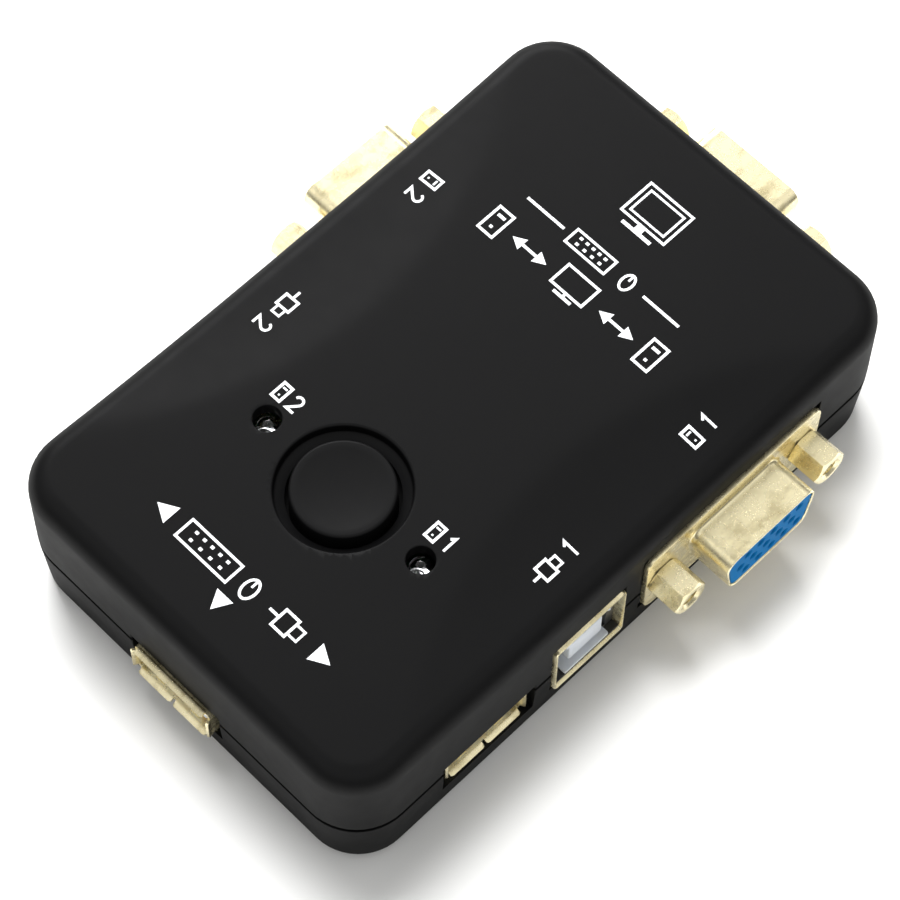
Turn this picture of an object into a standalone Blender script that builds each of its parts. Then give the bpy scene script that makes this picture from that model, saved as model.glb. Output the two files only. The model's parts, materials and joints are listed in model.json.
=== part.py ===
"""Two-computer VGA and USB switch box: two shells, a circuit board, its sockets and a push button.

Units are metres, +Z is up. The origin is the centre of the underside. +X is the side of the
first computer's sockets, -Y is the front with the single USB socket, +Y is the monitor side.
"""
import math

import bmesh
import bpy
from mathutils import Matrix, Vector

MM = 0.001

# ---- driving dimensions -------------------------------------------------------------------
GAP = 0.3 * MM                # clearance between pieces that touch

BODY_WIDTH = 60.8 * MM        # across X, at the seam
BODY_LENGTH = 94.2 * MM       # along Y, at the seam
BODY_HEIGHT = 24.6 * MM       # to the raised panel
SCOOP_DEPTH = 1.2 * MM        # side scoops below the raised panel
SEAM_Z = 10.3 * MM
CORNER_RADIUS = 7.6 * MM
TOP_EDGE_RADIUS = 3.0 * MM
BOTTOM_EDGE_RADIUS = 1.5 * MM
BOTTOM_TAPER = 0.6 * MM       # how far the lower wall leans in at the underside
TOP_TAPER = 0.1 * MM          # how far the upper wall leans in at the top
WALL = 2.0 * MM
LIP_INSET = 1.15 * MM         # tongue-and-groove lip along the seam
LIP_HEIGHT = 1.05 * MM
SCOOP_BOW = 14.8 * MM         # how far a scoop reaches in from the side, half way along
SCOOP_HALF_LENGTH = 38.5 * MM
SCOOP_RAMP = 9.0 * MM         # width of the slope between panel and scoop

BOARD_TOP_Z = 5.2 * MM
BOARD_THICKNESS = 1.6 * MM
BOARD_HALF = (27.5 * MM, 44.2 * MM)
BOARD_CORNER_RADIUS = 5.0 * MM
PART_FOOT_Z = BOARD_TOP_Z + GAP

BUTTON_Y = -19.4 * MM
BUTTON_RADIUS = 6.55 * MM
BUTTON_TRAVEL = 2.5 * MM
BUTTON_TOP_Z = BODY_HEIGHT
WELL_RADIUS = 8.4 * MM
WELL_DEPTH = 2.0 * MM
WELL_STEP = 1.1 * MM           # upright part of the well, above its cone
COLLAR_FOOT_Z = 20.3 * MM
SWITCH_BODY = (10.0 * MM, 22.0 * MM, 7.0 * MM)
PLUNGER_SIDE = 4.0 * MM
PLUNGER_SUNK = 3.0 * MM       # how far the plunger stands in the switch body at rest
CAP_TOP_THICKNESS = 1.6 * MM
CAP_DISH = 0.45 * MM          # how far the middle of the cap lies below its rim
CAP_SKIRT_WALL = 0.9 * MM
CAP_FLANGE = 1.1 * MM
SPRING_RADIUS = 3.55 * MM
SPRING_WIRE_RADIUS = 0.28 * MM
SPRING_TURNS = 6

LED_X = 13.15 * MM
LED_HOLE_RADIUS = 1.8 * MM

VGA_Z = 12.0 * MM             # centre height of the VGA sockets
VGA_SIDE_Y = 16.8 * MM
VGA_PROUD = 0.5 * MM          # how far a flange's face stands out of the wall
VGA_FLANGE = (30.8 * MM, 12.5 * MM, 0.8 * MM)
VGA_SHELL = (16.3 * MM, 7.9 * MM, 6.2 * MM)
VGA_SHELL_WALL = 0.5 * MM
JACK_SPACING = 25.0 * MM
USB_A_FRONT_X = -0.8 * MM
USB_A_SIDE_Y = -24.8 * MM
USB_A_SHELL = (13.1 * MM, 5.7 * MM, 13.8 * MM)
USB_A_LIP = 0.45 * MM         # how far the mouth's edges flare out all round
USB_A_LIP_LENGTH = 0.8 * MM
USB_A_PROUD = {"front": 1.2 * MM, "right": -0.45 * MM, "left": -0.45 * MM}
USB_A_SLOT = 15.4 * MM        # width of the notch round a USB-A socket
USB_B_SIDE_Y = -8.0 * MM
USB_B_SHELL = (12.0 * MM, 10.7 * MM, 16.0 * MM)
SHEET_WALL = 0.4 * MM         # USB shells

SCREW_X = 22.8 * MM
SCREW_Y = 39.2 * MM
SCREW_SHANK_RADIUS = 1.15 * MM
BOSS_RADIUS = 3.2 * MM

# ---- colours (linear RGB), roughness, metallic ---------------------------------------------
MATERIALS = {
    "black_plastic": ((0.018, 0.018, 0.020), 0.55, 0.0),
    "black_button": ((0.014, 0.014, 0.016), 0.5, 0.0),
    "plated_steel": ((0.72, 0.66, 0.50), 0.28, 1.0),
    "blue_plastic": ((0.005, 0.16, 0.46), 0.4, 0.0),
    "white_plastic": ((0.75, 0.77, 0.78), 0.4, 0.0),
    "board_green": ((0.02, 0.16, 0.06), 0.4, 0.0),
    "clear_led": ((0.75, 0.78, 0.80), 0.1, 0.0),
    "grey_plastic": ((0.12, 0.12, 0.13), 0.5, 0.0),
    "spring_steel": ((0.55, 0.55, 0.56), 0.3, 1.0),
    "screw_steel": ((0.25, 0.25, 0.26), 0.35, 1.0),
    "component_black": ((0.03, 0.03, 0.03), 0.35, 0.0),
}


# ---- helpers -------------------------------------------------------------------------------
def clear_scene():
    for old in list(bpy.data.objects):
        bpy.data.objects.remove(old, do_unlink=True)


def new_collection(name):
    collection = bpy.data.collections.new(name)
    bpy.context.scene.collection.children.link(collection)
    return collection


def material_for(kind, name):
    colour, roughness, metallic = MATERIALS[kind]
    material = bpy.data.materials.new(name)
    material.use_nodes = True
    shader = material.node_tree.nodes["Principled BSDF"]
    shader.inputs["Base Color"].default_value = (*colour, 1.0)
    shader.inputs["Roughness"].default_value = roughness
    shader.inputs["Metallic"].default_value = metallic
    material.diffuse_color = (*colour, 1.0)
    return material


def place(name, mesh_data, parent, kind=None):
    """Turn a bmesh into an object: a named part if it has a material kind, a cutter if not."""
    mesh = bpy.data.meshes.new(name)
    mesh_data.to_mesh(mesh)
    mesh_data.free()
    obj = bpy.data.objects.new(name, mesh)
    if kind:
        PARTS.objects.link(obj)
        mesh.materials.append(material_for(kind, name))
        mesh.shade_smooth()
        mesh.set_sharp_from_angle(angle=math.radians(35))
    else:
        CUTTERS.objects.link(obj)
        obj.display_type = "WIRE"
        obj.hide_render = True
    obj.parent = parent
    return obj


def empty_at(name, location=(0.0, 0.0, 0.0), turn=0.0):
    empty = bpy.data.objects.new(name, None)
    empty.location = location
    empty.rotation_euler = (0.0, 0.0, turn)
    empty.empty_display_size = 5.0 * MM
    PARTS.objects.link(empty)
    return empty


def combine(target, tools, operation):
    for tool in tools:
        modifier = target.modifiers.new(f"{operation.lower()} {tool.name}", "BOOLEAN")
        modifier.operation = operation
        modifier.solver = "EXACT"
        modifier.object = tool


def cut(target, *tools):
    combine(target, tools, "DIFFERENCE")


def join(target, *tools):
    combine(target, tools, "UNION")


def box(centre, size):
    data = bmesh.new()
    matrix = Matrix.Translation(centre) @ Matrix.Diagonal((*size, 1.0))
    bmesh.ops.create_cube(data, size=1.0, matrix=matrix)
    return data


def drum(centre, radius, height, sides=24, top_radius=None, axis="Z"):
    """A cylinder, or a cone with two radii, standing along an axis."""
    turn = {"X": Matrix.Rotation(math.pi / 2, 4, "Y"),
            "Y": Matrix.Rotation(-math.pi / 2, 4, "X"),
            "Z": Matrix.Identity(4)}[axis]
    data = bmesh.new()
    bmesh.ops.create_cone(
        data, cap_ends=True, segments=sides, radius1=radius,
        radius2=radius if top_radius is None else top_radius,
        depth=height, matrix=Matrix.Translation(centre) @ turn)
    return data


def edges_along(data, axis):
    """The straight edges of a block that run along one axis (0, 1 or 2)."""
    found = []
    for edge in data.edges:
        direction = (edge.verts[1].co - edge.verts[0].co).normalized()
        if abs(direction[axis]) > 0.9:
            found.append(edge)
    return found


def edges_at_height(data, height):
    tiny = 0.01 * MM
    return [edge for edge in data.edges
            if all(abs(vert.co.z - height) < tiny for vert in edge.verts)]


def round_edges(data, edges, radius, segments):
    bmesh.ops.bevel(data, geom=edges, offset=radius, segments=segments, profile=0.5,
                    affect="EDGES", offset_type="OFFSET", clamp_overlap=False)


def round_block(low_half, high_half, low_z, high_z, corner, segments=6, low_edge=0.0, high_edge=0.0,
                edge_segments=3):
    """A block with rounded upright corners whose walls may lean, and rounded rims if wanted."""
    data = box((0.0, 0.0, 0.0), (2.0, 2.0, 2.0))
    for vert in data.verts:
        half, height = (high_half, high_z) if vert.co.z > 0.0 else (low_half, low_z)
        vert.co = Vector((vert.co.x * half[0], vert.co.y * half[1], height))
    round_edges(data, edges_along(data, 2), corner, segments)
    if low_edge:
        round_edges(data, edges_at_height(data, low_z), low_edge, edge_segments)
    if high_edge:
        round_edges(data, edges_at_height(data, high_z), high_edge, edge_segments)
    return data


def d_block(width, height, front, back, radius, segments=3):
    """The D section of a VGA plug, wide side up, between two distances along Y."""
    lean = height * math.tan(math.radians(10.0))
    data = box((0.0, (front + back) / 2, 0.0), (width, abs(front - back), height))
    for vert in data.verts:
        if vert.co.z < 0.0:
            vert.co.x -= math.copysign(lean, vert.co.x)
    round_edges(data, edges_along(data, 1), radius, segments)
    return data


def chamfered_plate(width, height, front, back, chamfer, segments=1, centre_z=0.0):
    """A plate or block facing Y whose four corners are cut or rounded."""
    data = box((0.0, (front + back) / 2, centre_z), (width, abs(front - back), height))
    round_edges(data, edges_along(data, 1), chamfer, segments)
    return data


def flare(width, height, front, back, spread, centre_z):
    """A block facing Y that widens on all four sides towards its front."""
    data = box((0.0, (front + back) / 2, centre_z), (width, abs(front - back), height))
    middle_y = (front + back) / 2
    for vert in data.verts:
        if vert.co.y > middle_y:
            vert.co.x += math.copysign(spread, vert.co.x)
            vert.co.z += math.copysign(spread, vert.co.z - centre_z)
    return data


# ---- the two shells ------------------------------------------------------------------------
def body_half(z, inset=0.0):
    """Half width and half length of the outer wall at a height, less an inset."""
    if z < SEAM_Z:
        lean = BOTTOM_TAPER * (SEAM_Z - z) / SEAM_Z
    else:
        lean = TOP_TAPER * (z - SEAM_Z) / (BODY_HEIGHT - SEAM_Z)
    return (BODY_WIDTH / 2 - lean - inset, BODY_LENGTH / 2 - lean - inset)


def scoop_tools(name, inset):
    """The two cones that hollow the sides of the top; the inset keeps the wall under them."""
    bow = SCOOP_BOW
    arc_radius = SCOOP_HALF_LENGTH ** 2 / (2 * bow) + bow / 2
    arc_x = BODY_WIDTH / 2 - bow + arc_radius
    floor_z = BODY_HEIGHT - SCOOP_DEPTH - inset
    roof_z = floor_z + 3.0 * SCOOP_DEPTH
    ramp_rise = SCOOP_RAMP * (roof_z - floor_z) / SCOOP_DEPTH
    tools = []
    for side, word in ((1, "right"), (-1, "left")):
        centre = (side * arc_x, 0.0, (floor_z + roof_z) / 2)
        data = drum(centre, arc_radius + inset - SCOOP_RAMP, roof_z - floor_z, sides=160,
                    top_radius=arc_radius + inset - SCOOP_RAMP + ramp_rise)
        tools.append(place(f"cut_{name}_{word}", data, None))
    return tools


def wall_openings(name):
    """The notches in the walls for all eight sockets; each shell is cut by its half of them."""
    tools = []
    for port, station in STATIONS.items():
        width, low, high = OPENINGS[station["kind"]]
        data = box((0.0, -4.0 * MM, (low + high) / 2), (width, 16.0 * MM, high - low))
        tools.append(place(f"cut_{name}_{port}", data, station["empty"]))
    return tools


def screw_places():
    return [(sx * SCREW_X, sy * SCREW_Y) for sy in (-1, 1) for sx in (-1, 1)]


def make_bottom_shell():
    rim_z = SEAM_Z - GAP / 2
    shell = place("bottom_shell", round_block(
        body_half(0.0), body_half(rim_z), 0.0, rim_z, CORNER_RADIUS,
        low_edge=BOTTOM_EDGE_RADIUS), None, "black_plastic")
    lip_half = (BODY_WIDTH / 2 - LIP_INSET, BODY_LENGTH / 2 - LIP_INSET)
    lip = place("add_lip", round_block(lip_half, lip_half, rim_z - 1.0 * MM, rim_z + LIP_HEIGHT,
                                       CORNER_RADIUS - LIP_INSET), None)
    floor_z = WALL
    roof_z = rim_z + LIP_HEIGHT + 1.0 * MM
    hollow = place("cut_bottom_hollow", round_block(
        body_half(floor_z, WALL), body_half(SEAM_Z, WALL), floor_z, roof_z,
        CORNER_RADIUS - WALL), None)
    join(shell, lip)
    cut(shell, hollow)
    cut(shell, *wall_openings("low"))
    board_foot_z = BOARD_TOP_Z - BOARD_THICKNESS - GAP
    for index, (x, y) in enumerate(screw_places(), start=1):
        boss = place(f"add_low_boss_{index}", drum(
            (x, y, (board_foot_z + 0.5 * MM) / 2), BOSS_RADIUS, board_foot_z - 0.5 * MM), None)
        head_hole = place(f"cut_head_hole_{index}", drum(
            (x, y, 0.0), 2.7 * MM, 2 * (WALL - 0.1 * MM)), None)
        shank_hole = place(f"cut_shank_hole_{index}", drum(
            (x, y, board_foot_z / 2), SCREW_SHANK_RADIUS + GAP, 2 * board_foot_z, sides=16), None)
        join(shell, boss)
        cut(shell, head_hole, shank_hole)


def make_top_shell():
    foot_z = SEAM_Z + GAP / 2
    shell = place("top_shell", round_block(
        body_half(foot_z), body_half(BODY_HEIGHT), foot_z, BODY_HEIGHT, CORNER_RADIUS,
        high_edge=TOP_EDGE_RADIUS), None, "black_plastic")
    cut(shell, *scoop_tools("scoop", 0.0))

    ceiling_z = BODY_HEIGHT - WALL
    hollow = place("cut_top_hollow", round_block(
        body_half(SEAM_Z, WALL), body_half(ceiling_z, WALL), SEAM_Z - 1.0 * MM, ceiling_z,
        CORNER_RADIUS - WALL), None)
    cut(hollow, *scoop_tools("inner_scoop", WALL))
    groove_inset = LIP_INSET - GAP
    groove_half = (BODY_WIDTH / 2 - groove_inset, BODY_LENGTH / 2 - groove_inset)
    groove = place("cut_groove", round_block(
        groove_half, groove_half, SEAM_Z - 1.0 * MM, SEAM_Z - GAP / 2 + LIP_HEIGHT + GAP,
        CORNER_RADIUS - groove_inset), None)
    cut(shell, hollow, groove)
    cut(shell, *wall_openings("high"))

    boss_top_z = ceiling_z + 0.3 * MM
    for index, (x, y) in enumerate(screw_places(), start=1):
        boss = place(f"add_high_boss_{index}", drum(
            (x, y, (PART_FOOT_Z + boss_top_z) / 2), BOSS_RADIUS, boss_top_z - PART_FOOT_Z), None)
        pilot = place(f"cut_pilot_{index}", drum(
            (x, y, PART_FOOT_Z), SCREW_SHANK_RADIUS + GAP, 18.0 * MM, sides=16), None)
        join(shell, boss)
        cut(shell, pilot)

    collar_height = BODY_HEIGHT - 1.0 * MM - COLLAR_FOOT_Z
    collar = place("add_collar", drum(
        (0.0, BUTTON_Y, COLLAR_FOOT_Z + collar_height / 2), WELL_RADIUS + 1.2 * MM,
        collar_height, sides=40), None)
    join(shell, collar)
    well = place("cut_well", drum(
        (0.0, BUTTON_Y, BODY_HEIGHT - WELL_STEP + 1.0 * MM), WELL_RADIUS, 2.0 * MM, sides=40), None)
    cone_rise = WELL_DEPTH - WELL_STEP + 0.2 * MM
    cone_slope = (WELL_RADIUS - BUTTON_RADIUS - GAP) / (WELL_DEPTH - WELL_STEP)
    cone = place("cut_well_cone", drum(
        (0.0, BUTTON_Y, BODY_HEIGHT - WELL_DEPTH + cone_rise / 2), BUTTON_RADIUS + GAP, cone_rise,
        sides=40, top_radius=BUTTON_RADIUS + GAP + cone_slope * cone_rise), None)
    bore = place("cut_button_bore", drum(
        (0.0, BUTTON_Y, BODY_HEIGHT), BUTTON_RADIUS + GAP, 20.0 * MM, sides=40), None)
    cut(shell, well, cone, bore)
    for side in (-1, 1):
        hole = place(f"cut_led_hole_{side}", drum(
            (side * LED_X, BUTTON_Y, BODY_HEIGHT), LED_HOLE_RADIUS, 8.0 * MM, sides=20), None)
        cut(shell, hole)


# ---- board and what stands on it -----------------------------------------------------------
def make_board():
    foot_z = BOARD_TOP_Z - BOARD_THICKNESS
    board = place("circuit_board", round_block(
        BOARD_HALF, BOARD_HALF, foot_z, BOARD_TOP_Z, BOARD_CORNER_RADIUS, segments=3), None,
        "board_green")
    for index, (x, y) in enumerate(screw_places(), start=1):
        hole = place(f"cut_board_hole_{index}", drum(
            (x, y, BOARD_TOP_Z), 1.8 * MM, 10.0 * MM, sides=16), None)
        cut(board, hole)


def make_small_components():
    """LED resistors, supply diodes and a capacitor, each a little clear of the board."""
    for index, side in enumerate((-1, 1), start=1):
        chip = (3.2 * MM, 1.6 * MM, 0.6 * MM)
        centre = (side * (LED_X - 3.0 * MM), BUTTON_Y + 6.0 * MM, PART_FOOT_Z + chip[2] / 2)
        place(f"led_resistor_{index}", box(centre, chip), None, "component_black")
        length = 5.2 * MM
        radius = 1.35 * MM
        centre = (side * 5.0 * MM, 6.0 * MM, PART_FOOT_Z + radius)
        place(f"supply_diode_{index}", drum(centre, radius, length, sides=16, axis="Y"), None,
              "component_black")
    height = 7.0 * MM
    place("supply_capacitor", drum((0.0, 16.0 * MM, PART_FOOT_Z + height / 2), 2.5 * MM, height),
          None, "grey_plastic")


def make_leds():
    """3 mm LEDs: dome, rim and two straight leads, as one solid of revolution and two bars."""
    radius = 1.5 * MM
    rim_z = 18.3 * MM
    dome_z = BODY_HEIGHT - 1.1 * MM
    steps = 6
    for index, side in enumerate((1, -1), start=1):
        profile = [(0.0, dome_z)]
        for step in range(1, steps + 1):
            angle = math.pi / 2 * (1 - step / steps)
            profile.append((radius * math.cos(angle), dome_z - radius + radius * math.sin(angle)))
        profile += [(radius, rim_z + 1.0 * MM), (1.9 * MM, rim_z + 1.0 * MM), (1.9 * MM, rim_z),
                    (0.0, rim_z)]
        centre = Vector((side * LED_X, BUTTON_Y, 0.0))
        led = turned(f"led_{index}", profile, centre, None, "clear_led", 20)
        for lead, offset in (("a", -1.27 * MM), ("b", 1.27 * MM)):
            bar = place(f"add_led_{index}_{lead}", box(
                (centre.x, centre.y + offset, (PART_FOOT_Z + rim_z + 0.4 * MM) / 2),
                (0.5 * MM, 0.5 * MM, rim_z + 0.4 * MM - PART_FOOT_Z)), None)
            join(led, bar)


def turned(name, profile, centre, parent, kind, steps):
    """A solid of revolution about Z from (radius, height) points, top to bottom."""
    data = bmesh.new()
    verts = [data.verts.new((radius, 0.0, height)) for radius, height in profile]
    for first, second in zip(verts, verts[1:]):
        data.edges.new((first, second))
    obj = place(name, data, parent, kind)
    obj.location = centre
    screw = obj.modifiers.new("turn", "SCREW")
    screw.axis = "Z"
    screw.steps = steps
    screw.render_steps = steps
    screw.use_merge_vertices = True
    screw.merge_threshold = 0.00001
    screw.use_smooth_shade = True
    return obj


# ---- the push button and its switch --------------------------------------------------------
def make_button(axis_empty):
    """The cap, on the empty that marks the joint's axis; its heights are above the board frame."""
    flange_top_z = COLLAR_FOOT_Z - GAP
    flange_foot_z = flange_top_z - 1.0 * MM
    rim = 0.5 * MM
    ceiling_z = BUTTON_TOP_Z - CAP_TOP_THICKNESS
    inner = BUTTON_RADIUS - CAP_SKIRT_WALL
    profile = [
        (0.0, BUTTON_TOP_Z - CAP_DISH),
        (BUTTON_RADIUS * 0.5, BUTTON_TOP_Z - CAP_DISH * 0.7),
        (BUTTON_RADIUS - rim, BUTTON_TOP_Z),
        (BUTTON_RADIUS - rim * 0.3, BUTTON_TOP_Z - rim * 0.3),
        (BUTTON_RADIUS, BUTTON_TOP_Z - rim),
        (BUTTON_RADIUS, flange_top_z),
        (BUTTON_RADIUS + CAP_FLANGE, flange_top_z),
        (BUTTON_RADIUS + CAP_FLANGE, flange_foot_z),
        (inner, flange_foot_z),
        (inner, ceiling_z),
        (0.0, ceiling_z),
    ]
    turned("select_button", profile, Vector((0.0, 0.0, 0.0)), axis_empty, "black_button", 40)


def make_switch(axis_empty):
    width, length, height = SWITCH_BODY
    body_top_z = PART_FOOT_Z + height
    body = place("switch_body", box((0.0, BUTTON_Y, PART_FOOT_Z + height / 2), SWITCH_BODY), None,
                 "grey_plastic")
    pocket_depth = PLUNGER_SUNK + BUTTON_TRAVEL + 0.5 * MM
    pocket_side = PLUNGER_SIDE + 2 * GAP
    pocket = place("cut_switch_pocket", box(
        (0.0, BUTTON_Y, body_top_z), (pocket_side, pocket_side, 2 * pocket_depth)), None)
    cut(body, pocket)

    foot_z = body_top_z - PLUNGER_SUNK
    top_z = BUTTON_TOP_Z - CAP_TOP_THICKNESS - GAP
    place("switch_plunger", box((0.0, 0.0, (foot_z + top_z) / 2),
                                (PLUNGER_SIDE, PLUNGER_SIDE, top_z - foot_z)),
          axis_empty, "white_plastic")


def make_spring():
    """A coil on the switch body that pushes the cap up, as a round wire along a helix."""
    foot_z = PART_FOOT_Z + SWITCH_BODY[2] + GAP + SPRING_WIRE_RADIUS
    top_z = BUTTON_TOP_Z - CAP_TOP_THICKNESS - GAP - SPRING_WIRE_RADIUS
    per_turn = 12
    count = SPRING_TURNS * per_turn
    curve = bpy.data.curves.new("switch_spring", "CURVE")
    curve.dimensions = "3D"
    curve.bevel_depth = SPRING_WIRE_RADIUS
    curve.bevel_resolution = 2
    curve.use_fill_caps = True
    spline = curve.splines.new("POLY")
    spline.points.add(count)
    for index, point in enumerate(spline.points):
        angle = 2 * math.pi * index / per_turn
        height = foot_z + (top_z - foot_z) * index / count
        point.co = (SPRING_RADIUS * math.cos(angle), SPRING_RADIUS * math.sin(angle), height, 1.0)
    curve.materials.append(material_for("spring_steel", "switch_spring"))
    spring = bpy.data.objects.new("switch_spring", curve)
    spring.location = (0.0, BUTTON_Y, 0.0)
    PARTS.objects.link(spring)


# ---- sockets: built facing +Y with the wall's outer face at Y = 0 -------------------------
def make_vga(port, empty):
    flange_width, flange_height, flange_thick = VGA_FLANGE
    width, height, reach = VGA_SHELL
    rise = VGA_Z                       # centre height above the station empty
    lift = Matrix.Translation((0.0, 0.0, rise))
    wall = VGA_SHELL_WALL
    half = JACK_SPACING / 2

    def raised(data):
        bmesh.ops.transform(data, matrix=lift, verts=data.verts)
        return data

    shell = place(f"vga_{port}_shell", raised(chamfered_plate(
        flange_width, flange_height, 0.0, -flange_thick, 1.6 * MM, segments=2)), empty,
        "plated_steel")
    tube = place(f"add_vga_{port}_tube", raised(d_block(
        width, height, reach, -flange_thick / 2, 2.4 * MM)), empty)
    throat = place(f"cut_vga_{port}_throat", raised(d_block(
        width - 2 * wall, height - 2 * wall, reach + 1.0 * MM, -3.0 * MM, 1.9 * MM)), empty)
    join(shell, tube)
    cut(shell, throat)
    stud_radius = 1.45 * MM
    for side in (-1, 1):
        hole = place(f"cut_vga_{port}_stud_{side}", raised(drum(
            (side * half, 0.0, 0.0), stud_radius + GAP, 6.0 * MM, sides=16, axis="Y")), empty)
        cut(shell, hole)

    inset = wall + GAP
    insulator_back = -8.2 * MM
    insulator = place(f"vga_{port}_insulator", raised(d_block(
        width - 2 * inset, height - 2 * inset, reach - 0.5 * MM, insulator_back, 1.6 * MM)), empty,
        "blue_plastic")
    pitch = 2.29 * MM
    row_drop = 1.98 * MM
    for row in (-1, 0, 1):
        for column in range(-2, 3):
            x = column * pitch + (0.0 if row else pitch / 4) - row * pitch / 4
            hole = place(f"cut_vga_{port}_pin_{row}_{column}", raised(drum(
                (x, reach - 0.5 * MM, row * row_drop), 0.5 * MM, 8.0 * MM, sides=8, axis="Y")),
                empty)
            cut(insulator, hole)

    housing_front = -flange_thick - GAP
    housing_back = -10.1 * MM
    housing_height = flange_height - 0.6 * MM
    housing = place(f"vga_{port}_housing", raised(box(
        (0.0, (housing_front + housing_back) / 2, PART_FOOT_Z - rise + housing_height / 2),
        (flange_width - 0.2 * MM, housing_front - housing_back, housing_height))), empty,
        "component_black")
    pocket = place(f"cut_vga_{port}_pocket", raised(d_block(
        width - 2 * wall, height - 2 * wall, 1.0 * MM, insulator_back - GAP, 1.9 * MM)), empty)
    cut(housing, pocket)

    hex_reach = 4.5 * MM
    stud_reach = -4.5 * MM
    for side, word in ((-1, "a"), (1, "b")):
        screw = place(f"vga_{port}_jackscrew_{word}", raised(drum(
            (side * half, GAP + hex_reach / 2, 0.0), 2.5 * MM / math.cos(math.pi / 6), hex_reach,
            sides=6, axis="Y")), empty, "plated_steel")
        stud = place(f"add_vga_{port}_thread_{word}", raised(drum(
            (side * half, stud_reach / 2 + 0.5 * MM, 0.0), stud_radius,
            1.0 * MM - stud_reach, sides=16, axis="Y")), empty)
        tapped = place(f"cut_vga_{port}_tapped_{word}", raised(drum(
            (side * half, GAP + hex_reach, 0.0), 1.25 * MM, 8.0 * MM, sides=12, axis="Y")), empty)
        join(screw, stud)
        cut(screw, tapped)
        stud_hole = place(f"cut_vga_{port}_housing_{word}", raised(drum(
            (side * half, 0.0, 0.0), stud_radius + GAP, -2 * (stud_reach - 0.6 * MM), sides=16,
            axis="Y")), empty)
        cut(housing, stud_hole)


def make_usb_a(port, empty):
    width, height, depth = USB_A_SHELL
    centre_z = PART_FOOT_Z + height / 2
    front = USB_A_PROUD[port]
    shell = place(f"usb_a_{port}_shell", chamfered_plate(
        width, height, front - USB_A_LIP_LENGTH / 2, front - depth, 0.5 * MM, segments=2,
        centre_z=centre_z), empty, "plated_steel")
    lip = place(f"add_usb_a_{port}_lip", flare(
        width, height, front, front - USB_A_LIP_LENGTH, USB_A_LIP, centre_z), empty)
    inner_width = width - 2 * SHEET_WALL
    inner_height = height - 2 * SHEET_WALL
    mouth = place(f"cut_usb_a_{port}_mouth", box(
        (0.0, front - depth / 2 + SHEET_WALL, centre_z), (inner_width, depth, inner_height)),
        empty)
    funnel = place(f"cut_usb_a_{port}_funnel", flare(
        inner_width, inner_height, front + 0.1 * MM, front - USB_A_LIP_LENGTH, USB_A_LIP,
        centre_z), empty)
    join(shell, lip)
    cut(shell, mouth, funnel)

    inner_back = front - depth + SHEET_WALL + GAP
    base_width = width - 2 * SHEET_WALL - 2 * GAP
    base_height = height - 2 * SHEET_WALL - 2 * GAP
    base_depth = 4.0 * MM
    tongue = place(f"usb_a_{port}_tongue", box(
        (0.0, inner_back + base_depth / 2, centre_z), (base_width, base_depth, base_height)),
        empty, "white_plastic")
    blade_front = front - 1.0 * MM
    blade_thick = 1.8 * MM
    blade_z = centre_z + base_height / 2 - 0.5 * MM - blade_thick / 2
    blade = place(f"add_usb_a_{port}_blade", box(
        (0.0, (inner_back + blade_front) / 2 + 0.5 * MM, blade_z),
        (11.1 * MM, blade_front - inner_back - 1.0 * MM, blade_thick)), empty)
    join(tongue, blade)


def make_usb_b(port, empty):
    width, height, depth = USB_B_SHELL
    centre_z = PART_FOOT_Z + height / 2
    front = 0.3 * MM
    shell = place(f"usb_b_{port}_shell", chamfered_plate(
        width, height, front, front - depth, 0.6 * MM, segments=2, centre_z=centre_z), empty,
        "plated_steel")
    mouth = place(f"cut_usb_b_{port}_mouth", box(
        (0.0, front - depth / 2 + SHEET_WALL, centre_z),
        (width - 2 * SHEET_WALL, depth, height - 2 * SHEET_WALL)), empty)
    cut(shell, mouth)

    inner_back = front - depth + SHEET_WALL + GAP
    inner_front = front - 0.3 * MM
    block_width = width - 2 * SHEET_WALL - 2 * GAP
    block_height = height - 2 * SHEET_WALL - 2 * GAP
    insulator = place(f"usb_b_{port}_insulator", box(
        (0.0, (inner_back + inner_front) / 2, centre_z),
        (block_width, inner_front - inner_back, block_height)), empty, "white_plastic")
    socket_depth = 9.0 * MM
    socket_data = box((0.0, inner_front, centre_z), (8.45 * MM, 2 * socket_depth, 7.78 * MM))
    upper = [edge for edge in edges_along(socket_data, 1) if edge.verts[0].co.z > centre_z]
    round_edges(socket_data, upper, 1.6 * MM, 1)
    socket = place(f"cut_usb_b_{port}_socket", socket_data, empty)
    tongue_reach = 8.4 * MM
    tongue = place(f"add_usb_b_{port}_tongue", box(
        (0.0, inner_front - socket_depth + tongue_reach / 2 - 0.5 * MM, centre_z),
        (5.6 * MM, tongue_reach, 3.2 * MM)), empty)
    cut(insulator, socket)
    join(insulator, tongue)


# ---- fasteners -----------------------------------------------------------------------------
def make_case_screws():
    """Four self-tapping screws from below, heads sunk in the underside."""
    head_foot_z = 0.2 * MM
    head_top_z = 1.6 * MM
    tip_z = 14.0 * MM
    for index, (x, y) in enumerate(screw_places(), start=1):
        profile = [
            (0.0, tip_z), (SCREW_SHANK_RADIUS * 0.5, tip_z),
            (SCREW_SHANK_RADIUS, tip_z - 1.5 * MM), (SCREW_SHANK_RADIUS, head_top_z),
            (2.35 * MM, head_top_z), (2.35 * MM, head_foot_z), (0.0, head_foot_z),
        ]
        screw = turned(f"case_screw_{index}", profile, Vector((x, y, 0.0)), None, "screw_steel", 16)
        for turn, word in ((0.0, "across"), (math.pi / 2, "along")):
            data = box((0.0, 0.0, head_foot_z), (3.0 * MM, 0.7 * MM, 1.6 * MM))
            slot = place(f"cut_slot_{index}_{word}", data, None)
            slot.location = (x, y, 0.0)
            slot.rotation_euler = (0.0, 0.0, turn)
            cut(screw, slot)


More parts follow.
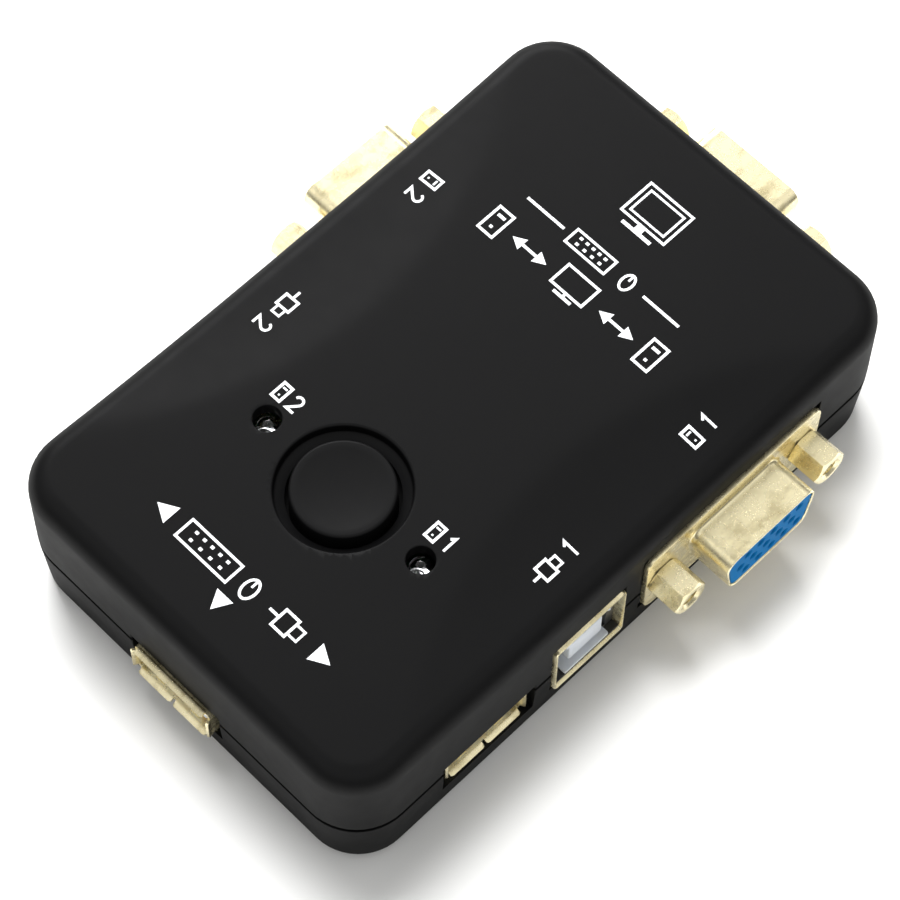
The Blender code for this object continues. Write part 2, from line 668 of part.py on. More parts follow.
# ---- assembly ------------------------------------------------------------------------------
clear_scene()
PARTS = new_collection("kvm_switch")
CUTTERS = new_collection("kvm_switch_cutters")

RIGHT = -math.pi / 2          # turns a socket that faces +Y towards +X
LEFT = math.pi / 2
FRONT = math.pi
SIDE_X = BODY_WIDTH / 2
END_Y = BODY_LENGTH / 2

# port name: socket kind, place on the wall, turn about Z
PORTS = {
    "vga_pc1": ("vga", (SIDE_X + VGA_PROUD, VGA_SIDE_Y, 0.0), RIGHT),
    "vga_pc2": ("vga", (-SIDE_X - VGA_PROUD, VGA_SIDE_Y, 0.0), LEFT),
    "vga_monitor": ("vga", (0.0, END_Y + VGA_PROUD, 0.0), 0.0),
    "usb_b_pc1": ("usb_b", (SIDE_X, USB_B_SIDE_Y, 0.0), RIGHT),
    "usb_b_pc2": ("usb_b", (-SIDE_X, USB_B_SIDE_Y, 0.0), LEFT),
    "usb_a_right": ("usb_a", (SIDE_X, USB_A_SIDE_Y, 0.0), RIGHT),
    "usb_a_left": ("usb_a", (-SIDE_X, USB_A_SIDE_Y, 0.0), LEFT),
    "usb_a_front": ("usb_a", (USB_A_FRONT_X, -END_Y, 0.0), FRONT),
}
# socket kind: width, lowest and highest edge of its notch in the walls
OPENINGS = {
    "vga": (VGA_FLANGE[0] + 2 * GAP, VGA_Z - VGA_FLANGE[1] / 2 - GAP,
            VGA_Z + VGA_FLANGE[1] / 2 + GAP),
    "usb_b": (USB_B_SHELL[0] + 2 * GAP, PART_FOOT_Z - GAP, PART_FOOT_Z + USB_B_SHELL[1] + GAP),
    "usb_a": (USB_A_SLOT, PART_FOOT_Z - USB_A_LIP - GAP,
              PART_FOOT_Z + USB_A_SHELL[1] + USB_A_LIP + GAP),
}
STATIONS = {port: {"kind": kind, "empty": empty_at(f"at_{port}", location, turn)}
            for port, (kind, location, turn) in PORTS.items()}
MAKERS = {"vga": make_vga, "usb_a": make_usb_a, "usb_b": make_usb_b}

make_bottom_shell()
make_top_shell()
make_board()
make_small_components()
make_leds()
button_axis = empty_at("button_axis", (0.0, BUTTON_Y, 0.0))
make_button(button_axis)
make_switch(button_axis)
make_spring()
make_case_screws()
for port_name, station in STATIONS.items():
    socket_kind = station["kind"]
    MAKERS[socket_kind](port_name.removeprefix(f"{socket_kind}_"), station["empty"])
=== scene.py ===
"""Looks of a small two-computer switch box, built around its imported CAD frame.

Places and sizes come from the frame's boxes or from the values named here, in metres. A socket is
built facing +Y with its wall's outer face at y = 0, and is then turned and moved to that wall.
"""
import json
import math

import bmesh
import bpy
from mathutils import Matrix, Vector


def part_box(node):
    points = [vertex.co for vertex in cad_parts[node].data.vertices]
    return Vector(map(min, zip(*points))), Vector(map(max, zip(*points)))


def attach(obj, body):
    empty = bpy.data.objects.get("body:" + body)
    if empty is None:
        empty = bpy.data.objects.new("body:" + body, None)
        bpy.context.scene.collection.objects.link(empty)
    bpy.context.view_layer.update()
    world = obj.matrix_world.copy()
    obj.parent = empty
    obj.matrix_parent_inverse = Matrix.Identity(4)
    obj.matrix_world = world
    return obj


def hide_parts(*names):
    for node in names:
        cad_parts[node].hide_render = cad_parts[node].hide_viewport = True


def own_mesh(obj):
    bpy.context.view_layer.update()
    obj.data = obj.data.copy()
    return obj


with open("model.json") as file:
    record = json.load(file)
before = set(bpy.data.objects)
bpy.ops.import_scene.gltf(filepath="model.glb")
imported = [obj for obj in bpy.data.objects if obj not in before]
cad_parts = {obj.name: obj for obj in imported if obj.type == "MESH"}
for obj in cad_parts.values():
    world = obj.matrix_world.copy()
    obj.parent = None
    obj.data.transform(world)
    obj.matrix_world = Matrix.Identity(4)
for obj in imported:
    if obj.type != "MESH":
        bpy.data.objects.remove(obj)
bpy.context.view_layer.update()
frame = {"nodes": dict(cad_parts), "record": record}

MM = 0.001
HOUSING = "housing"
BUTTON = "button"

# ---- sizes taken from the frame ------------------------------------------------------------
BASE_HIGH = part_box("bottom_shell")[1]
LID_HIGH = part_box("top_shell")[1]
CAP_LOW, CAP_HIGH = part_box("select_button")
HALF_WIDTH = LID_HIGH.x
HALF_LENGTH = LID_HIGH.y
TOP_Z = LID_HIGH.z
BUTTON_XY = Vector(((CAP_LOW.x + CAP_HIGH.x) / 2, (CAP_LOW.y + CAP_HIGH.y) / 2))

# ---- sizes of the moulding -----------------------------------------------------------------
CORNER_RADIUS = 7.6 * MM
LID_EDGE_RADIUS = 3.0 * MM
LID_TAPER = 0.1 * MM
BASE_EDGE_RADIUS = 1.5 * MM
BASE_TAPER = 0.6 * MM
WALL = 2.0 * MM
GAP = 0.3 * MM
LIP_INSET = 1.15 * MM
LIP_HEIGHT = 1.05 * MM
SEAM_GAP = 0.65 * MM           # the shadow line between lid and base
SEAM_LOW_Z = BASE_HIGH.z - LIP_HEIGHT - 0.1 * MM
LID_FOOT_Z = SEAM_LOW_Z + SEAM_GAP
SCOOP_BOW = 14.8 * MM          # how far a scoop reaches in from the side, half way along
SCOOP_HALF_LENGTH = 38.5 * MM
SCOOP_DROP = 1.2 * MM          # its depth at the side, half way along
SCOOP_FLATTENING = 1.6         # 1 gives an even slope, more makes it flatter towards the side
CREASE_SOFTNESS = 1.1 * MM
CROWN = 0.25 * MM              # how much lower the lid is at its ends than in the middle
INK_HEIGHT = 0.03 * MM         # the print stands this far above the lid's face
INK_SINK = 0.04 * MM           # and reaches this far into it
FINE_STROKE, STROKE, BOLD_STROKE = 0.30 * MM, 0.34 * MM, 0.36 * MM
CREST_Z = TOP_Z - INK_HEIGHT
WELL_RADIUS = 8.4 * MM
WELL_STEP = 1.35 * MM          # upright part of the well, above its cone
WELL_DEPTH = 1.98 * MM
BORE_RADIUS = 6.85 * MM
CAP_RADIUS = 6.55 * MM
LED_HOLE_RADIUS = 1.8 * MM
SCREW_NUMBERS = range(1, 5)
CORNER_STEPS = 12
SIDE_STEPS = (36, 60)          # along the ends, along the sides
RING_PITCH = 0.75 * MM


# ---- materials -----------------------------------------------------------------------------
def map_range(owner, value, numbers, target):
    """Feed a socket with a value, taken from the first two numbers to the last two."""
    tree = owner.node_tree
    slope = tree.nodes.new("ShaderNodeMapRange")
    for word, number in zip(("From Min", "From Max", "To Min", "To Max"), numbers):
        slope.inputs[word].default_value = number
    tree.links.new(value, slope.inputs["Value"])
    tree.links.new(slope.outputs["Result"], target)


class Finish:
    """A Principled material under construction, with the few node chains that the finishes share."""

    def __init__(self, name, colour, roughness, metallic=0.0):
        self.material = bpy.data.materials.new(name)
        self.material.use_nodes = True
        self.nodes = self.material.node_tree.nodes
        self.links = self.material.node_tree.links
        self.shader = self.nodes["Principled BSDF"]
        self.shader.inputs["Base Color"].default_value = (*colour, 1.0)
        self.shader.inputs["Roughness"].default_value = roughness
        self.shader.inputs["Metallic"].default_value = metallic
        self.colour = colour
        self.position = self.nodes.new("ShaderNodeTexCoord").outputs["Object"]

    def noise(self, feature, detail=3.0, stretch=(1.0, 1.0, 1.0), roughness=0.5):
        """Noise whose spots are about one feature size across, in metres."""
        mapping = self.nodes.new("ShaderNodeMapping")
        mapping.inputs["Scale"].default_value = [s / feature for s in stretch]
        self.links.new(self.position, mapping.inputs["Vector"])
        texture = self.nodes.new("ShaderNodeTexNoise")
        texture.inputs["Scale"].default_value = 1.0
        texture.inputs["Detail"].default_value = detail
        texture.inputs["Roughness"].default_value = roughness
        self.links.new(mapping.outputs["Vector"], texture.inputs["Vector"])
        return texture.outputs["Fac"]

    def ramp(self, value, low, high, dark, light):
        """Blend from one colour to another as a value goes from low to high."""
        ramp = self.nodes.new("ShaderNodeValToRGB")
        ramp.color_ramp.elements[0].position = low
        ramp.color_ramp.elements[1].position = high
        ramp.color_ramp.elements[0].color = (*dark, 1.0)
        ramp.color_ramp.elements[1].color = (*light, 1.0)
        self.links.new(value, ramp.inputs["Fac"])
        return ramp.outputs["Color"]

    def tint(self, value, low, high, dark, light):
        self.links.new(self.ramp(value, low, high, dark, light), self.shader.inputs["Base Color"])
        return self

    def polish(self, value, smooth, rough):
        """Roughness that varies between two values."""
        map_range(self.material, value, (0.3, 0.7, smooth, rough), self.shader.inputs["Roughness"])
        return self

    def bump(self, value, height, strength):
        bump = self.nodes.new("ShaderNodeBump")
        bump.inputs["Distance"].default_value = height
        bump.inputs["Strength"].default_value = strength
        self.links.new(value, bump.inputs["Height"])
        self.links.new(bump.outputs["Normal"], self.shader.inputs["Normal"])
        return self

    def dulled(self, share):
        """Mix in plain scattering, as on a spark-eroded texture that traps part of its own shine."""
        scatter = self.nodes.new("ShaderNodeBsdfDiffuse")
        scatter.inputs["Color"].default_value = (*self.colour, 1.0)
        mix = self.nodes.new("ShaderNodeMixShader")
        mix.inputs["Fac"].default_value = share
        self.links.new(self.shader.outputs["BSDF"], mix.inputs[1])
        self.links.new(scatter.outputs["BSDF"], mix.inputs[2])
        self.links.new(mix.outputs["Shader"], self.nodes["Material Output"].inputs["Surface"])
        return self

    def set(self, **sockets):
        for name, value in sockets.items():
            self.shader.inputs[name.replace("_", " ")].default_value = value
        return self


def times(colour, factor):
    return tuple(channel * factor for channel in colour)


def case_plastic():
    """Matt black plastic with a fine spark-eroded texture."""
    colour = (0.0030, 0.0030, 0.0032)
    finish = Finish("case_plastic", colour, 0.45)
    grain = finish.noise(0.22 * MM, detail=4.0, roughness=0.6)
    cloud = finish.noise(14.0 * MM, detail=2.0)
    finish.tint(cloud, 0.3, 0.7, times(colour, 0.86), times(colour, 1.14))
    finish.polish(finish.noise(3.0 * MM, detail=5.0), 0.41, 0.48)
    finish.bump(grain, 0.012 * MM, 0.45)
    return finish.dulled(0.69).material


def cap_plastic():
    """The button: the same black, a little finer and smoother."""
    colour = (0.0034, 0.0034, 0.0036)
    finish = Finish("cap_plastic", colour, 0.45)
    finish.tint(finish.noise(5.0 * MM), 0.3, 0.7, times(colour, 0.9), times(colour, 1.12))
    finish.polish(finish.noise(1.6 * MM, detail=5.0), 0.42, 0.5)
    finish.bump(finish.noise(0.15 * MM, detail=3.0), 0.008 * MM, 0.4)
    return finish.dulled(0.69).material


def plated_metal():
    """Pale gold plate over steel, slightly uneven and clouded."""
    colour = (0.98, 0.88, 0.57)
    finish = Finish("plated_metal", colour, 0.24, 0.84)
    cloud = finish.noise(2.6 * MM, detail=6.0, stretch=(1.0, 0.5, 1.0), roughness=0.6)
    finish.tint(cloud, 0.34, 0.50, (0.66, 0.57, 0.33), colour)
    finish.polish(finish.noise(1.6 * MM, detail=4.0), 0.20, 0.34)
    return finish.bump(finish.noise(1.4 * MM, detail=2.0), 0.012 * MM, 0.3).material


def socket_blue():
    colour = (0.0005, 0.150, 0.400)
    finish = Finish("socket_blue", colour, 0.5)
    finish.set(Specular_IOR_Level=0.2)
    finish.tint(finish.noise(1.8 * MM), 0.3, 0.7, times(colour, 0.88), times(colour, 1.1))
    finish.bump(finish.noise(0.2 * MM), 0.006 * MM, 0.3)
    return finish.dulled(0.6).material


def socket_white():
    colour = (0.70, 0.74, 0.80)
    finish = Finish("socket_white", colour, 0.36)
    finish.set(Subsurface_Weight=0.15, Subsurface_Radius=(0.0012, 0.0012, 0.0014))
    finish.tint(finish.noise(1.8 * MM), 0.3, 0.7, times(colour, 0.92), colour)
    return finish.bump(finish.noise(0.2 * MM), 0.006 * MM, 0.3).material


def moulded(name, colour, roughness):
    """Any plain moulded part inside."""
    finish = Finish(name, colour, roughness)
    finish.tint(finish.noise(2.5 * MM), 0.3, 0.7, times(colour, 0.85), times(colour, 1.15))
    return finish.bump(finish.noise(0.2 * MM), 0.006 * MM, 0.35).material


def bare_metal(name, colour, roughness):
    finish = Finish(name, colour, roughness, 1.0)
    finish.tint(finish.noise(1.2 * MM, detail=5.0), 0.3, 0.7, times(colour, 0.8), colour)
    finish.polish(finish.noise(0.5 * MM, detail=4.0), roughness * 0.8, roughness * 1.3)
    return finish.material


def solder_mask():
    colour = (0.012, 0.120, 0.045)
    finish = Finish("solder_mask", colour, 0.3)
    finish.tint(finish.noise(3.0 * MM, detail=4.0), 0.45, 0.55, times(colour, 0.7), colour)
    return finish.material


def clear_epoxy():
    finish = Finish("clear_epoxy", (0.93, 0.95, 0.95), 0.03)
    finish.set(Transmission_Weight=1.0, IOR=1.52)
    return finish.bump(finish.noise(0.8 * MM, detail=1.0), 0.004 * MM, 0.3).material


def white_ink():
    """Screen print: matt white, a little thin in places."""
    finish = Finish("white_ink", (0.80, 0.83, 0.85), 0.6)
    finish.tint(finish.noise(0.35 * MM, detail=3.0), 0.30, 0.45, (0.55, 0.58, 0.60), (0.86, 0.88, 0.90))
    return finish.bump(finish.noise(0.2 * MM), 0.006 * MM, 0.3).material


FINISHES = {
    "case": case_plastic(),
    "button_cap": cap_plastic(),
    "plated_steel": plated_metal(),
    "vga_blue": socket_blue(),
    "white_plastic": socket_white(),
    "board": solder_mask(),
    "led_lens": clear_epoxy(),
    "component_black": moulded("component_black", (0.02, 0.02, 0.02), 0.4),
    "component_grey": moulded("component_grey", (0.10, 0.10, 0.11), 0.5),
    "spring_steel": bare_metal("spring_steel", (0.55, 0.55, 0.56), 0.3),
    "screw_steel": bare_metal("screw_steel", (0.22, 0.22, 0.23), 0.35),
}
CONTACT_GOLD = bare_metal("contact_gold", (0.83, 0.58, 0.22), 0.22)
INK = white_ink()


# ---- making pieces -------------------------------------------------------------------------
def piece(name, data, finish, body=HOUSING, replaces=(), place=None, sharp=35.0):
    """Turn a bmesh into a named piece that rides on a body and may stand for CAD nodes."""
    if place is not None:
        placed(data, place)
    mesh = bpy.data.meshes.new(name)
    data.to_mesh(mesh)
    data.free()
    mesh.shade_smooth()
    mesh.set_sharp_from_angle(angle=math.radians(sharp))
    obj = bpy.data.objects.new(name, mesh)
    bpy.context.scene.collection.objects.link(obj)
    if isinstance(finish, str):
        mesh.materials.append(FINISHES[finish])
    else:
        mesh.materials.append(finish)
    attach(obj, body)
    if replaces:
        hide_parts(*replaces)
    return obj


def carve(obj, cutters, operation="DIFFERENCE"):
    """Cut or join bmeshes with a piece, one exact boolean each, and keep only the result."""
    for data in cutters:
        mesh = bpy.data.meshes.new("tool")
        data.to_mesh(mesh)
        data.free()
        mesh.shade_smooth()
        tool = bpy.data.objects.new("tool", mesh)
        bpy.context.scene.collection.objects.link(tool)
        modifier = obj.modifiers.new("carve", "BOOLEAN")
        modifier.operation = operation
        modifier.solver = "EXACT"
        modifier.object = tool
        depsgraph = bpy.context.evaluated_depsgraph_get()
        result = bpy.data.meshes.new_from_object(obj.evaluated_get(depsgraph))
        obj.modifiers.clear()
        old = obj.data
        result.name = old.name
        obj.data = result
        bpy.data.meshes.remove(old)
        bpy.data.objects.remove(tool)
        bpy.data.meshes.remove(mesh)
    return obj


def finish_edges(obj, angle=35.0):
    """Smooth shading after the cuts, with weighted normals so that flats stay flat."""
    obj.data.shade_smooth()
    obj.data.set_sharp_from_angle(angle=math.radians(angle))
    modifier = obj.modifiers.new("weighted", "WEIGHTED_NORMAL")
    modifier.keep_sharp = True
    return obj


def block(low, high):
    """A box between two corners."""
    low, high = Vector(low), Vector(high)
    data = bmesh.new()
    matrix = Matrix.Translation((low + high) / 2) @ Matrix.Diagonal((*(high - low), 1.0))
    bmesh.ops.create_cube(data, size=1.0, matrix=matrix)
    return data


def soften(data, amount, segments=2, angle=30.0):
    """Round the edges that are sharper than an angle."""
    edges = [e for e in data.edges if len(e.link_faces) == 2
             and e.calc_face_angle() > math.radians(angle)]
    bmesh.ops.bevel(data, geom=edges, offset=amount, segments=segments, profile=0.5,
                    affect="EDGES", offset_type="OFFSET", clamp_overlap=True)
    return data


def soft_block(low, high, amount):
    return soften(block(low, high), amount)


def revolved(profile, segments, along="Z"):
    """A closed solid turned from (radius, height) points that start and end on the axis, top first."""
    data = bmesh.new()
    rings = []
    for radius, height in profile:
        if radius < 1e-9:
            rings.append([data.verts.new((0.0, 0.0, height))])
            continue
        ring = []
        for step in range(segments):
            angle = 2 * math.pi * step / segments
            ring.append(data.verts.new((radius * math.cos(angle), radius * math.sin(angle), height)))
        rings.append(ring)
    for upper, lower in zip(rings, rings[1:]):
        for step in range(segments):
            after = (step + 1) % segments
            corners = [upper[step % len(upper)], lower[step % len(lower)],
                       lower[after % len(lower)], upper[after % len(upper)]]
            corners = [v for i, v in enumerate(corners) if v not in corners[:i]]
            data.faces.new(corners)
    return placed(data, Matrix.Rotation(-math.pi / 2, 4, "X")) if along == "Y" else data


def placed(data, matrix):
    bmesh.ops.transform(data, matrix=matrix, verts=data.verts)
    return data


def moved(data, x, y=0.0, z=0.0):
    bmesh.ops.translate(data, vec=(x, y, z), verts=data.verts)
    return data


def merged(*parts):
    """Several closed bmeshes as one, which stay separate bodies."""
    whole = bmesh.new()
    for part in parts:
        mesh = bpy.data.meshes.new("part")
        part.to_mesh(mesh)
        part.free()
        whole.from_mesh(mesh)
        bpy.data.meshes.remove(mesh)
    return whole


def loft(rows, closed_ends=True):
    """A skin over rows of equally many points, capped at both ends or joined from last to first."""
    data = bmesh.new()
    rings = [[data.verts.new(point) for point in row] for row in rows]
    count = len(rings[0])
    for near, far in zip(rings, rings[1:]):
        for index in range(count):
            after = (index + 1) % count
            data.faces.new((near[index], near[after], far[after], far[index]))
    if closed_ends:
        data.faces.new(list(reversed(rings[0])))
        data.faces.new(rings[-1])
    else:
        for index in range(count):
            after = (index + 1) % count
            data.faces.new((rings[-1][index], rings[-1][after], rings[0][after], rings[0][index]))
    return data


def facing_out(data):
    bmesh.ops.recalc_face_normals(data, faces=data.faces)
    return data


def arc(steps, sweep=math.pi / 2, first=1):
    """The sine, and the cosine taken from 1, at each step of an arc."""
    for step in range(first, steps + 1):
        angle = sweep * step / steps
        yield math.sin(angle), 1 - math.cos(angle)


# ---- the case ------------------------------------------------------------------------------
def outline(half_x, half_y, corner):
    """A rounded rectangle, anticlockwise, with the same number of points whatever its size."""
    signs = ((1, 1), (-1, 1), (-1, -1), (1, -1))
    points = []
    for quarter, (sign_x, sign_y) in enumerate(signs):
        centre = Vector((sign_x * (half_x - corner), sign_y * (half_y - corner)))
        for step in range(CORNER_STEPS + 1):
            angle = math.pi / 2 * (quarter + step / CORNER_STEPS)
            points.append(centre + corner * Vector((math.cos(angle), math.sin(angle))))
        next_x, next_y = signs[(quarter + 1) % 4]
        next_centre = Vector((next_x * (half_x - corner), next_y * (half_y - corner)))
        start = points[-1]
        end = next_centre + (start - centre)
        steps = SIDE_STEPS[quarter % 2]
        for step in range(1, steps):
            points.append(start.lerp(end, step / steps))
    return points


def lid_height(x, y):
    """Height of the lid's upper face: a slight crown, less the two scoops in its sides."""
    arc_radius = (SCOOP_HALF_LENGTH ** 2 + SCOOP_BOW ** 2) / (2 * SCOOP_BOW)
    arc_x = HALF_WIDTH - SCOOP_BOW + arc_radius
    past_crease = arc_radius - math.hypot(abs(x) - arc_x, y)
    eased = (past_crease + math.hypot(past_crease, CREASE_SOFTNESS)) / 2
    crown = CROWN * ((x / HALF_WIDTH) ** 2 + (y / HALF_LENGTH) ** 2) / 2
    share = min(eased / SCOOP_BOW, 1.0)
    return CREST_Z - crown - SCOOP_DROP * (1.0 - (1.0 - share) ** SCOOP_FLATTENING)


def case_row(inset, height, drop=0.0):
    """One ring of the case: its outline at an inset, at a height or at a drop below the lid's face."""
    corner = max(CORNER_RADIUS - inset, 0.5 * MM)
    row = []
    for point in outline(HALF_WIDTH - inset, HALF_LENGTH - inset, corner):
        z = lid_height(point.x, point.y) - drop if height is None else height
        row.append((point.x, point.y, z))
    return row


def inward_rows(first, last, drop):
    """Rings that follow the lid's face from one inset to another."""
    count = max(2, round(abs(last - first) / RING_PITCH))
    return [case_row(first + (last - first) * step / count, None, drop) for step in range(1, count + 1)]


def lid_rows():
    innermost = HALF_WIDTH - 0.5 * MM
    groove_z = LID_FOOT_Z + LIP_HEIGHT
    groove_inset = LIP_INSET - GAP
    edge = 0.25 * MM
    rows = inward_rows(WALL + 0.5 * MM, innermost, WALL)[::-1]
    rows.append(case_row(WALL, None, WALL + 0.8 * MM))
    rows += [case_row(inset, z) for inset, z in (
        (WALL, groove_z + 0.25 * MM), (WALL, groove_z), (groove_inset, groove_z),
        (groove_inset, LID_FOOT_Z), (edge, LID_FOOT_Z), (edge * 0.3, LID_FOOT_Z + edge * 0.3),
        (0.0, LID_FOOT_Z + edge))]
    wall_foot_z, wall_top_z = LID_FOOT_Z + edge, TOP_Z - LID_EDGE_RADIUS - SCOOP_DROP
    steps = 5
    for step in range(1, steps + 1):
        share = step / steps
        rows.append(case_row(LID_TAPER * share, wall_foot_z + (wall_top_z - wall_foot_z) * share))
    for sine, from_one in arc(12, first=0):
        rows.append(case_row(LID_TAPER + LID_EDGE_RADIUS * from_one, None, LID_EDGE_RADIUS * (1 - sine)))
    return rows + inward_rows(LID_TAPER + LID_EDGE_RADIUS, innermost, 0.0)


def base_rows():
    rim_z = SEAM_LOW_Z
    innermost = HALF_WIDTH - 1.0 * MM
    rows = [case_row(innermost, 0.0), case_row(12.0 * MM, 0.0)]
    for sine, from_one in arc(8, first=0):
        height = BASE_EDGE_RADIUS * from_one
        lean = BASE_TAPER * (1 - height / rim_z)
        rows.append(case_row(BASE_EDGE_RADIUS * (1 - sine) + lean, height))
    edge = 0.12 * MM
    steps = 4
    for step in range(1, steps + 1):
        height = BASE_EDGE_RADIUS + (rim_z - edge - BASE_EDGE_RADIUS) * step / steps
        rows.append(case_row(BASE_TAPER * (1 - height / rim_z), height))
    return rows + [case_row(inset, z) for inset, z in (
        (edge * 0.3, rim_z - edge * 0.3), (edge, rim_z), (LIP_INSET, rim_z),
        (LIP_INSET, rim_z + LIP_HEIGHT), (WALL, rim_z + LIP_HEIGHT), (WALL, rim_z),
        (WALL + BASE_TAPER, WALL), (innermost, WALL))]


class Port:
    """Where a socket stands on its wall, the size of its shell and how far that stands proud."""

    def __init__(self, kind, side, name):
        self.kind = kind
        self.name = f"{kind}_{name}"
        low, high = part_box(f"{self.name}_shell")
        turns = {"right": -math.pi / 2, "left": math.pi / 2, "back": 0.0, "front": math.pi}
        turn = Matrix.Rotation(turns[side], 4, "Z")
        facing = turn @ Vector((0.0, 1.0, 0.0))
        middle = (low + high) / 2
        reach = abs(facing.x) * HALF_WIDTH + abs(facing.y) * HALF_LENGTH
        wall = Vector((middle.x * abs(facing.y), middle.y * abs(facing.x), middle.z))
        wall += facing * reach
        size = high - low
        self.width = size.x * abs(facing.y) + size.y * abs(facing.x)
        self.height = size.z
        self.proud = max((low - wall).dot(facing), (high - wall).dot(facing))
        self.place = Matrix.Translation(wall) @ turn

    def add(self, word, data, finish, stands_for=(), sharp=35.0):
        """Make one piece of the socket, in place of the CAD nodes with these last words."""
        return piece(f"{self.name}_{word}", data, finish, place=self.place, sharp=sharp,
                     replaces=[f"{self.name}_{last}" for last in stands_for])


PORTS = [
    Port("vga", "back", "monitor"), Port("vga", "right", "pc1"), Port("vga", "left", "pc2"),
    Port("usb_b", "right", "pc1"), Port("usb_b", "left", "pc2"),
    Port("usb_a", "front", "front"), Port("usb_a", "right", "right"), Port("usb_a", "left", "left"),
]
USB_A_SLOT = 15.4 * MM


def port_cutter(port):
    """The notch that lets a socket through the wall, a little wider at the outer face."""
    width = (USB_A_SLOT if port.kind == "usb_a" else port.width + 2 * GAP) / 2
    height = port.height / 2 + (0.1 * MM if port.kind == "usb_a" else GAP)
    chamfer = 0.15 * MM
    rows = []
    for y, spread in ((-6.0 * MM, 0.0), (-chamfer, 0.0), (0.0, chamfer), (1.0 * MM, chamfer * 6)):
        w, h = width + spread, height + spread
        rows.append([(w, y, -h), (w, y, h), (-w, y, h), (-w, y, -h)])
    return placed(facing_out(loft(rows)), port.place)


def well_cutter():
    """The funnel round the button, with a rounded rim and a small step at the top of its slope."""
    rim = 0.35 * MM
    top = lid_height(BUTTON_XY.x, BUTTON_XY.y)
    profile = [(0.0, top + 2.0 * MM), (WELL_RADIUS + rim, top + 2.0 * MM), (WELL_RADIUS + rim, top)]
    profile += [(WELL_RADIUS + rim * (1 - sine), top - rim * from_one) for sine, from_one in arc(5)]
    profile += [
        (WELL_RADIUS - 0.05 * MM, top - WELL_STEP),
        (WELL_RADIUS - 0.25 * MM, top - WELL_STEP - 0.2 * MM),
        (BORE_RADIUS + 0.25 * MM, top - WELL_DEPTH),
        (BORE_RADIUS, top - WELL_DEPTH - 0.25 * MM),
        (BORE_RADIUS, top - 8.0 * MM),
        (0.0, top - 8.0 * MM),
    ]
    return moved(revolved(profile, 96), BUTTON_XY.x, BUTTON_XY.y)


def led_cutter(node):
    low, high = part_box(node)
    x, y = (low.x + high.x) / 2, BUTTON_XY.y
    top = lid_height(x, y)
    rim = 0.15 * MM
    profile = [(0.0, top + 1.0 * MM), (LED_HOLE_RADIUS + rim, top + 1.0 * MM),
               (LED_HOLE_RADIUS + rim, top), (LED_HOLE_RADIUS + rim * 0.3, top - rim * 0.3),
               (LED_HOLE_RADIUS, top - rim), (LED_HOLE_RADIUS, top - 5.0 * MM), (0.0, top - 5.0 * MM)]
    return moved(revolved(profile, 48), x, y)


def make_case():
    lid = piece("upper_case", loft(lid_rows()), "case", replaces=["top_shell"])
    notches = [port_cutter(port) for port in PORTS]
    carve(lid, [merged(well_cutter(), led_cutter("led_1"), led_cutter("led_2"), *notches)])
    finish_edges(lid)
    base = piece("lower_case", loft(base_rows()), "case", replaces=["bottom_shell"])
    recesses = []
    radius, depth, flare = 2.7 * MM, 1.9 * MM, 0.4 * MM
    for number in SCREW_NUMBERS:
        low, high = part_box(f"case_screw_{number}")
        middle = (low + high) / 2
        profile = [(0.0, depth), (radius, depth), (radius, flare / 2), (radius + flare, -flare / 2),
                   (radius + flare, -1.0 * MM), (0.0, -1.0 * MM)]
        recesses.append(moved(revolved(profile, 40), middle.x, middle.y))
    notches = [port_cutter(port) for port in PORTS]
    carve(base, [merged(*notches, *recesses)])
    finish_edges(base)


# ---- the button and the lamps --------------------------------------------------------------
def make_button():
    """The cap: dished on top, with a raised rounded rim, a skirt and a retaining flange."""
    crest = CAP_HIGH.z
    dish = 0.45 * MM
    rim = 0.42 * MM
    profile = [(0.0, crest - dish)]
    steps = 8
    for step in range(1, steps + 1):
        share = step / steps
        profile.append(((CAP_RADIUS - rim) * share, crest - dish * (1 - share ** 2)))
    profile += [(CAP_RADIUS - rim + rim * sine, crest - rim * from_one) for sine, from_one in arc(6)]
    flange_top = CAP_LOW.z + 1.0 * MM
    flange_radius = (CAP_HIGH.x - CAP_LOW.x) / 2
    inner = CAP_RADIUS - 0.9 * MM
    ceiling = crest - 1.6 * MM
    profile += [
        (CAP_RADIUS, flange_top + 0.2 * MM), (CAP_RADIUS + 0.1 * MM, flange_top),
        (flange_radius, flange_top), (flange_radius, CAP_LOW.z), (inner, CAP_LOW.z),
        (inner, ceiling - 0.3 * MM), (inner - 0.3 * MM, ceiling), (0.0, ceiling),
    ]
    data = moved(revolved(profile, 96), BUTTON_XY.x, BUTTON_XY.y)
    piece("button_cap", data, "button_cap", body=BUTTON, replaces=["select_button"], sharp=50.0)


def make_spring():
    """The return spring round the plunger."""
    low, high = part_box("switch_spring")
    wire, turns, per_turn, wire_sides = 0.28 * MM, 6, 32, 10
    radius = (high.x - low.x) / 2 - wire
    height = high.z - low.z
    rows = []
    for step in range(turns * per_turn + 1):
        turn = 2 * math.pi * step / per_turn
        middle = low.z + wire + (height - 2 * wire) * step / (turns * per_turn)
        ring = []
        for corner in range(wire_sides):
            angle = 2 * math.pi * corner / wire_sides
            reach = radius + wire * math.cos(angle)
            ring.append((reach * math.cos(turn), reach * math.sin(turn), middle + wire * math.sin(angle)))
        rows.append(ring)
    coil = facing_out(moved(loft(rows), BUTTON_XY.x, BUTTON_XY.y))
    spring = piece("switch_coil", coil, FINISHES["spring_steel"], replaces=["switch_spring"], sharp=60.0)
    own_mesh(spring)


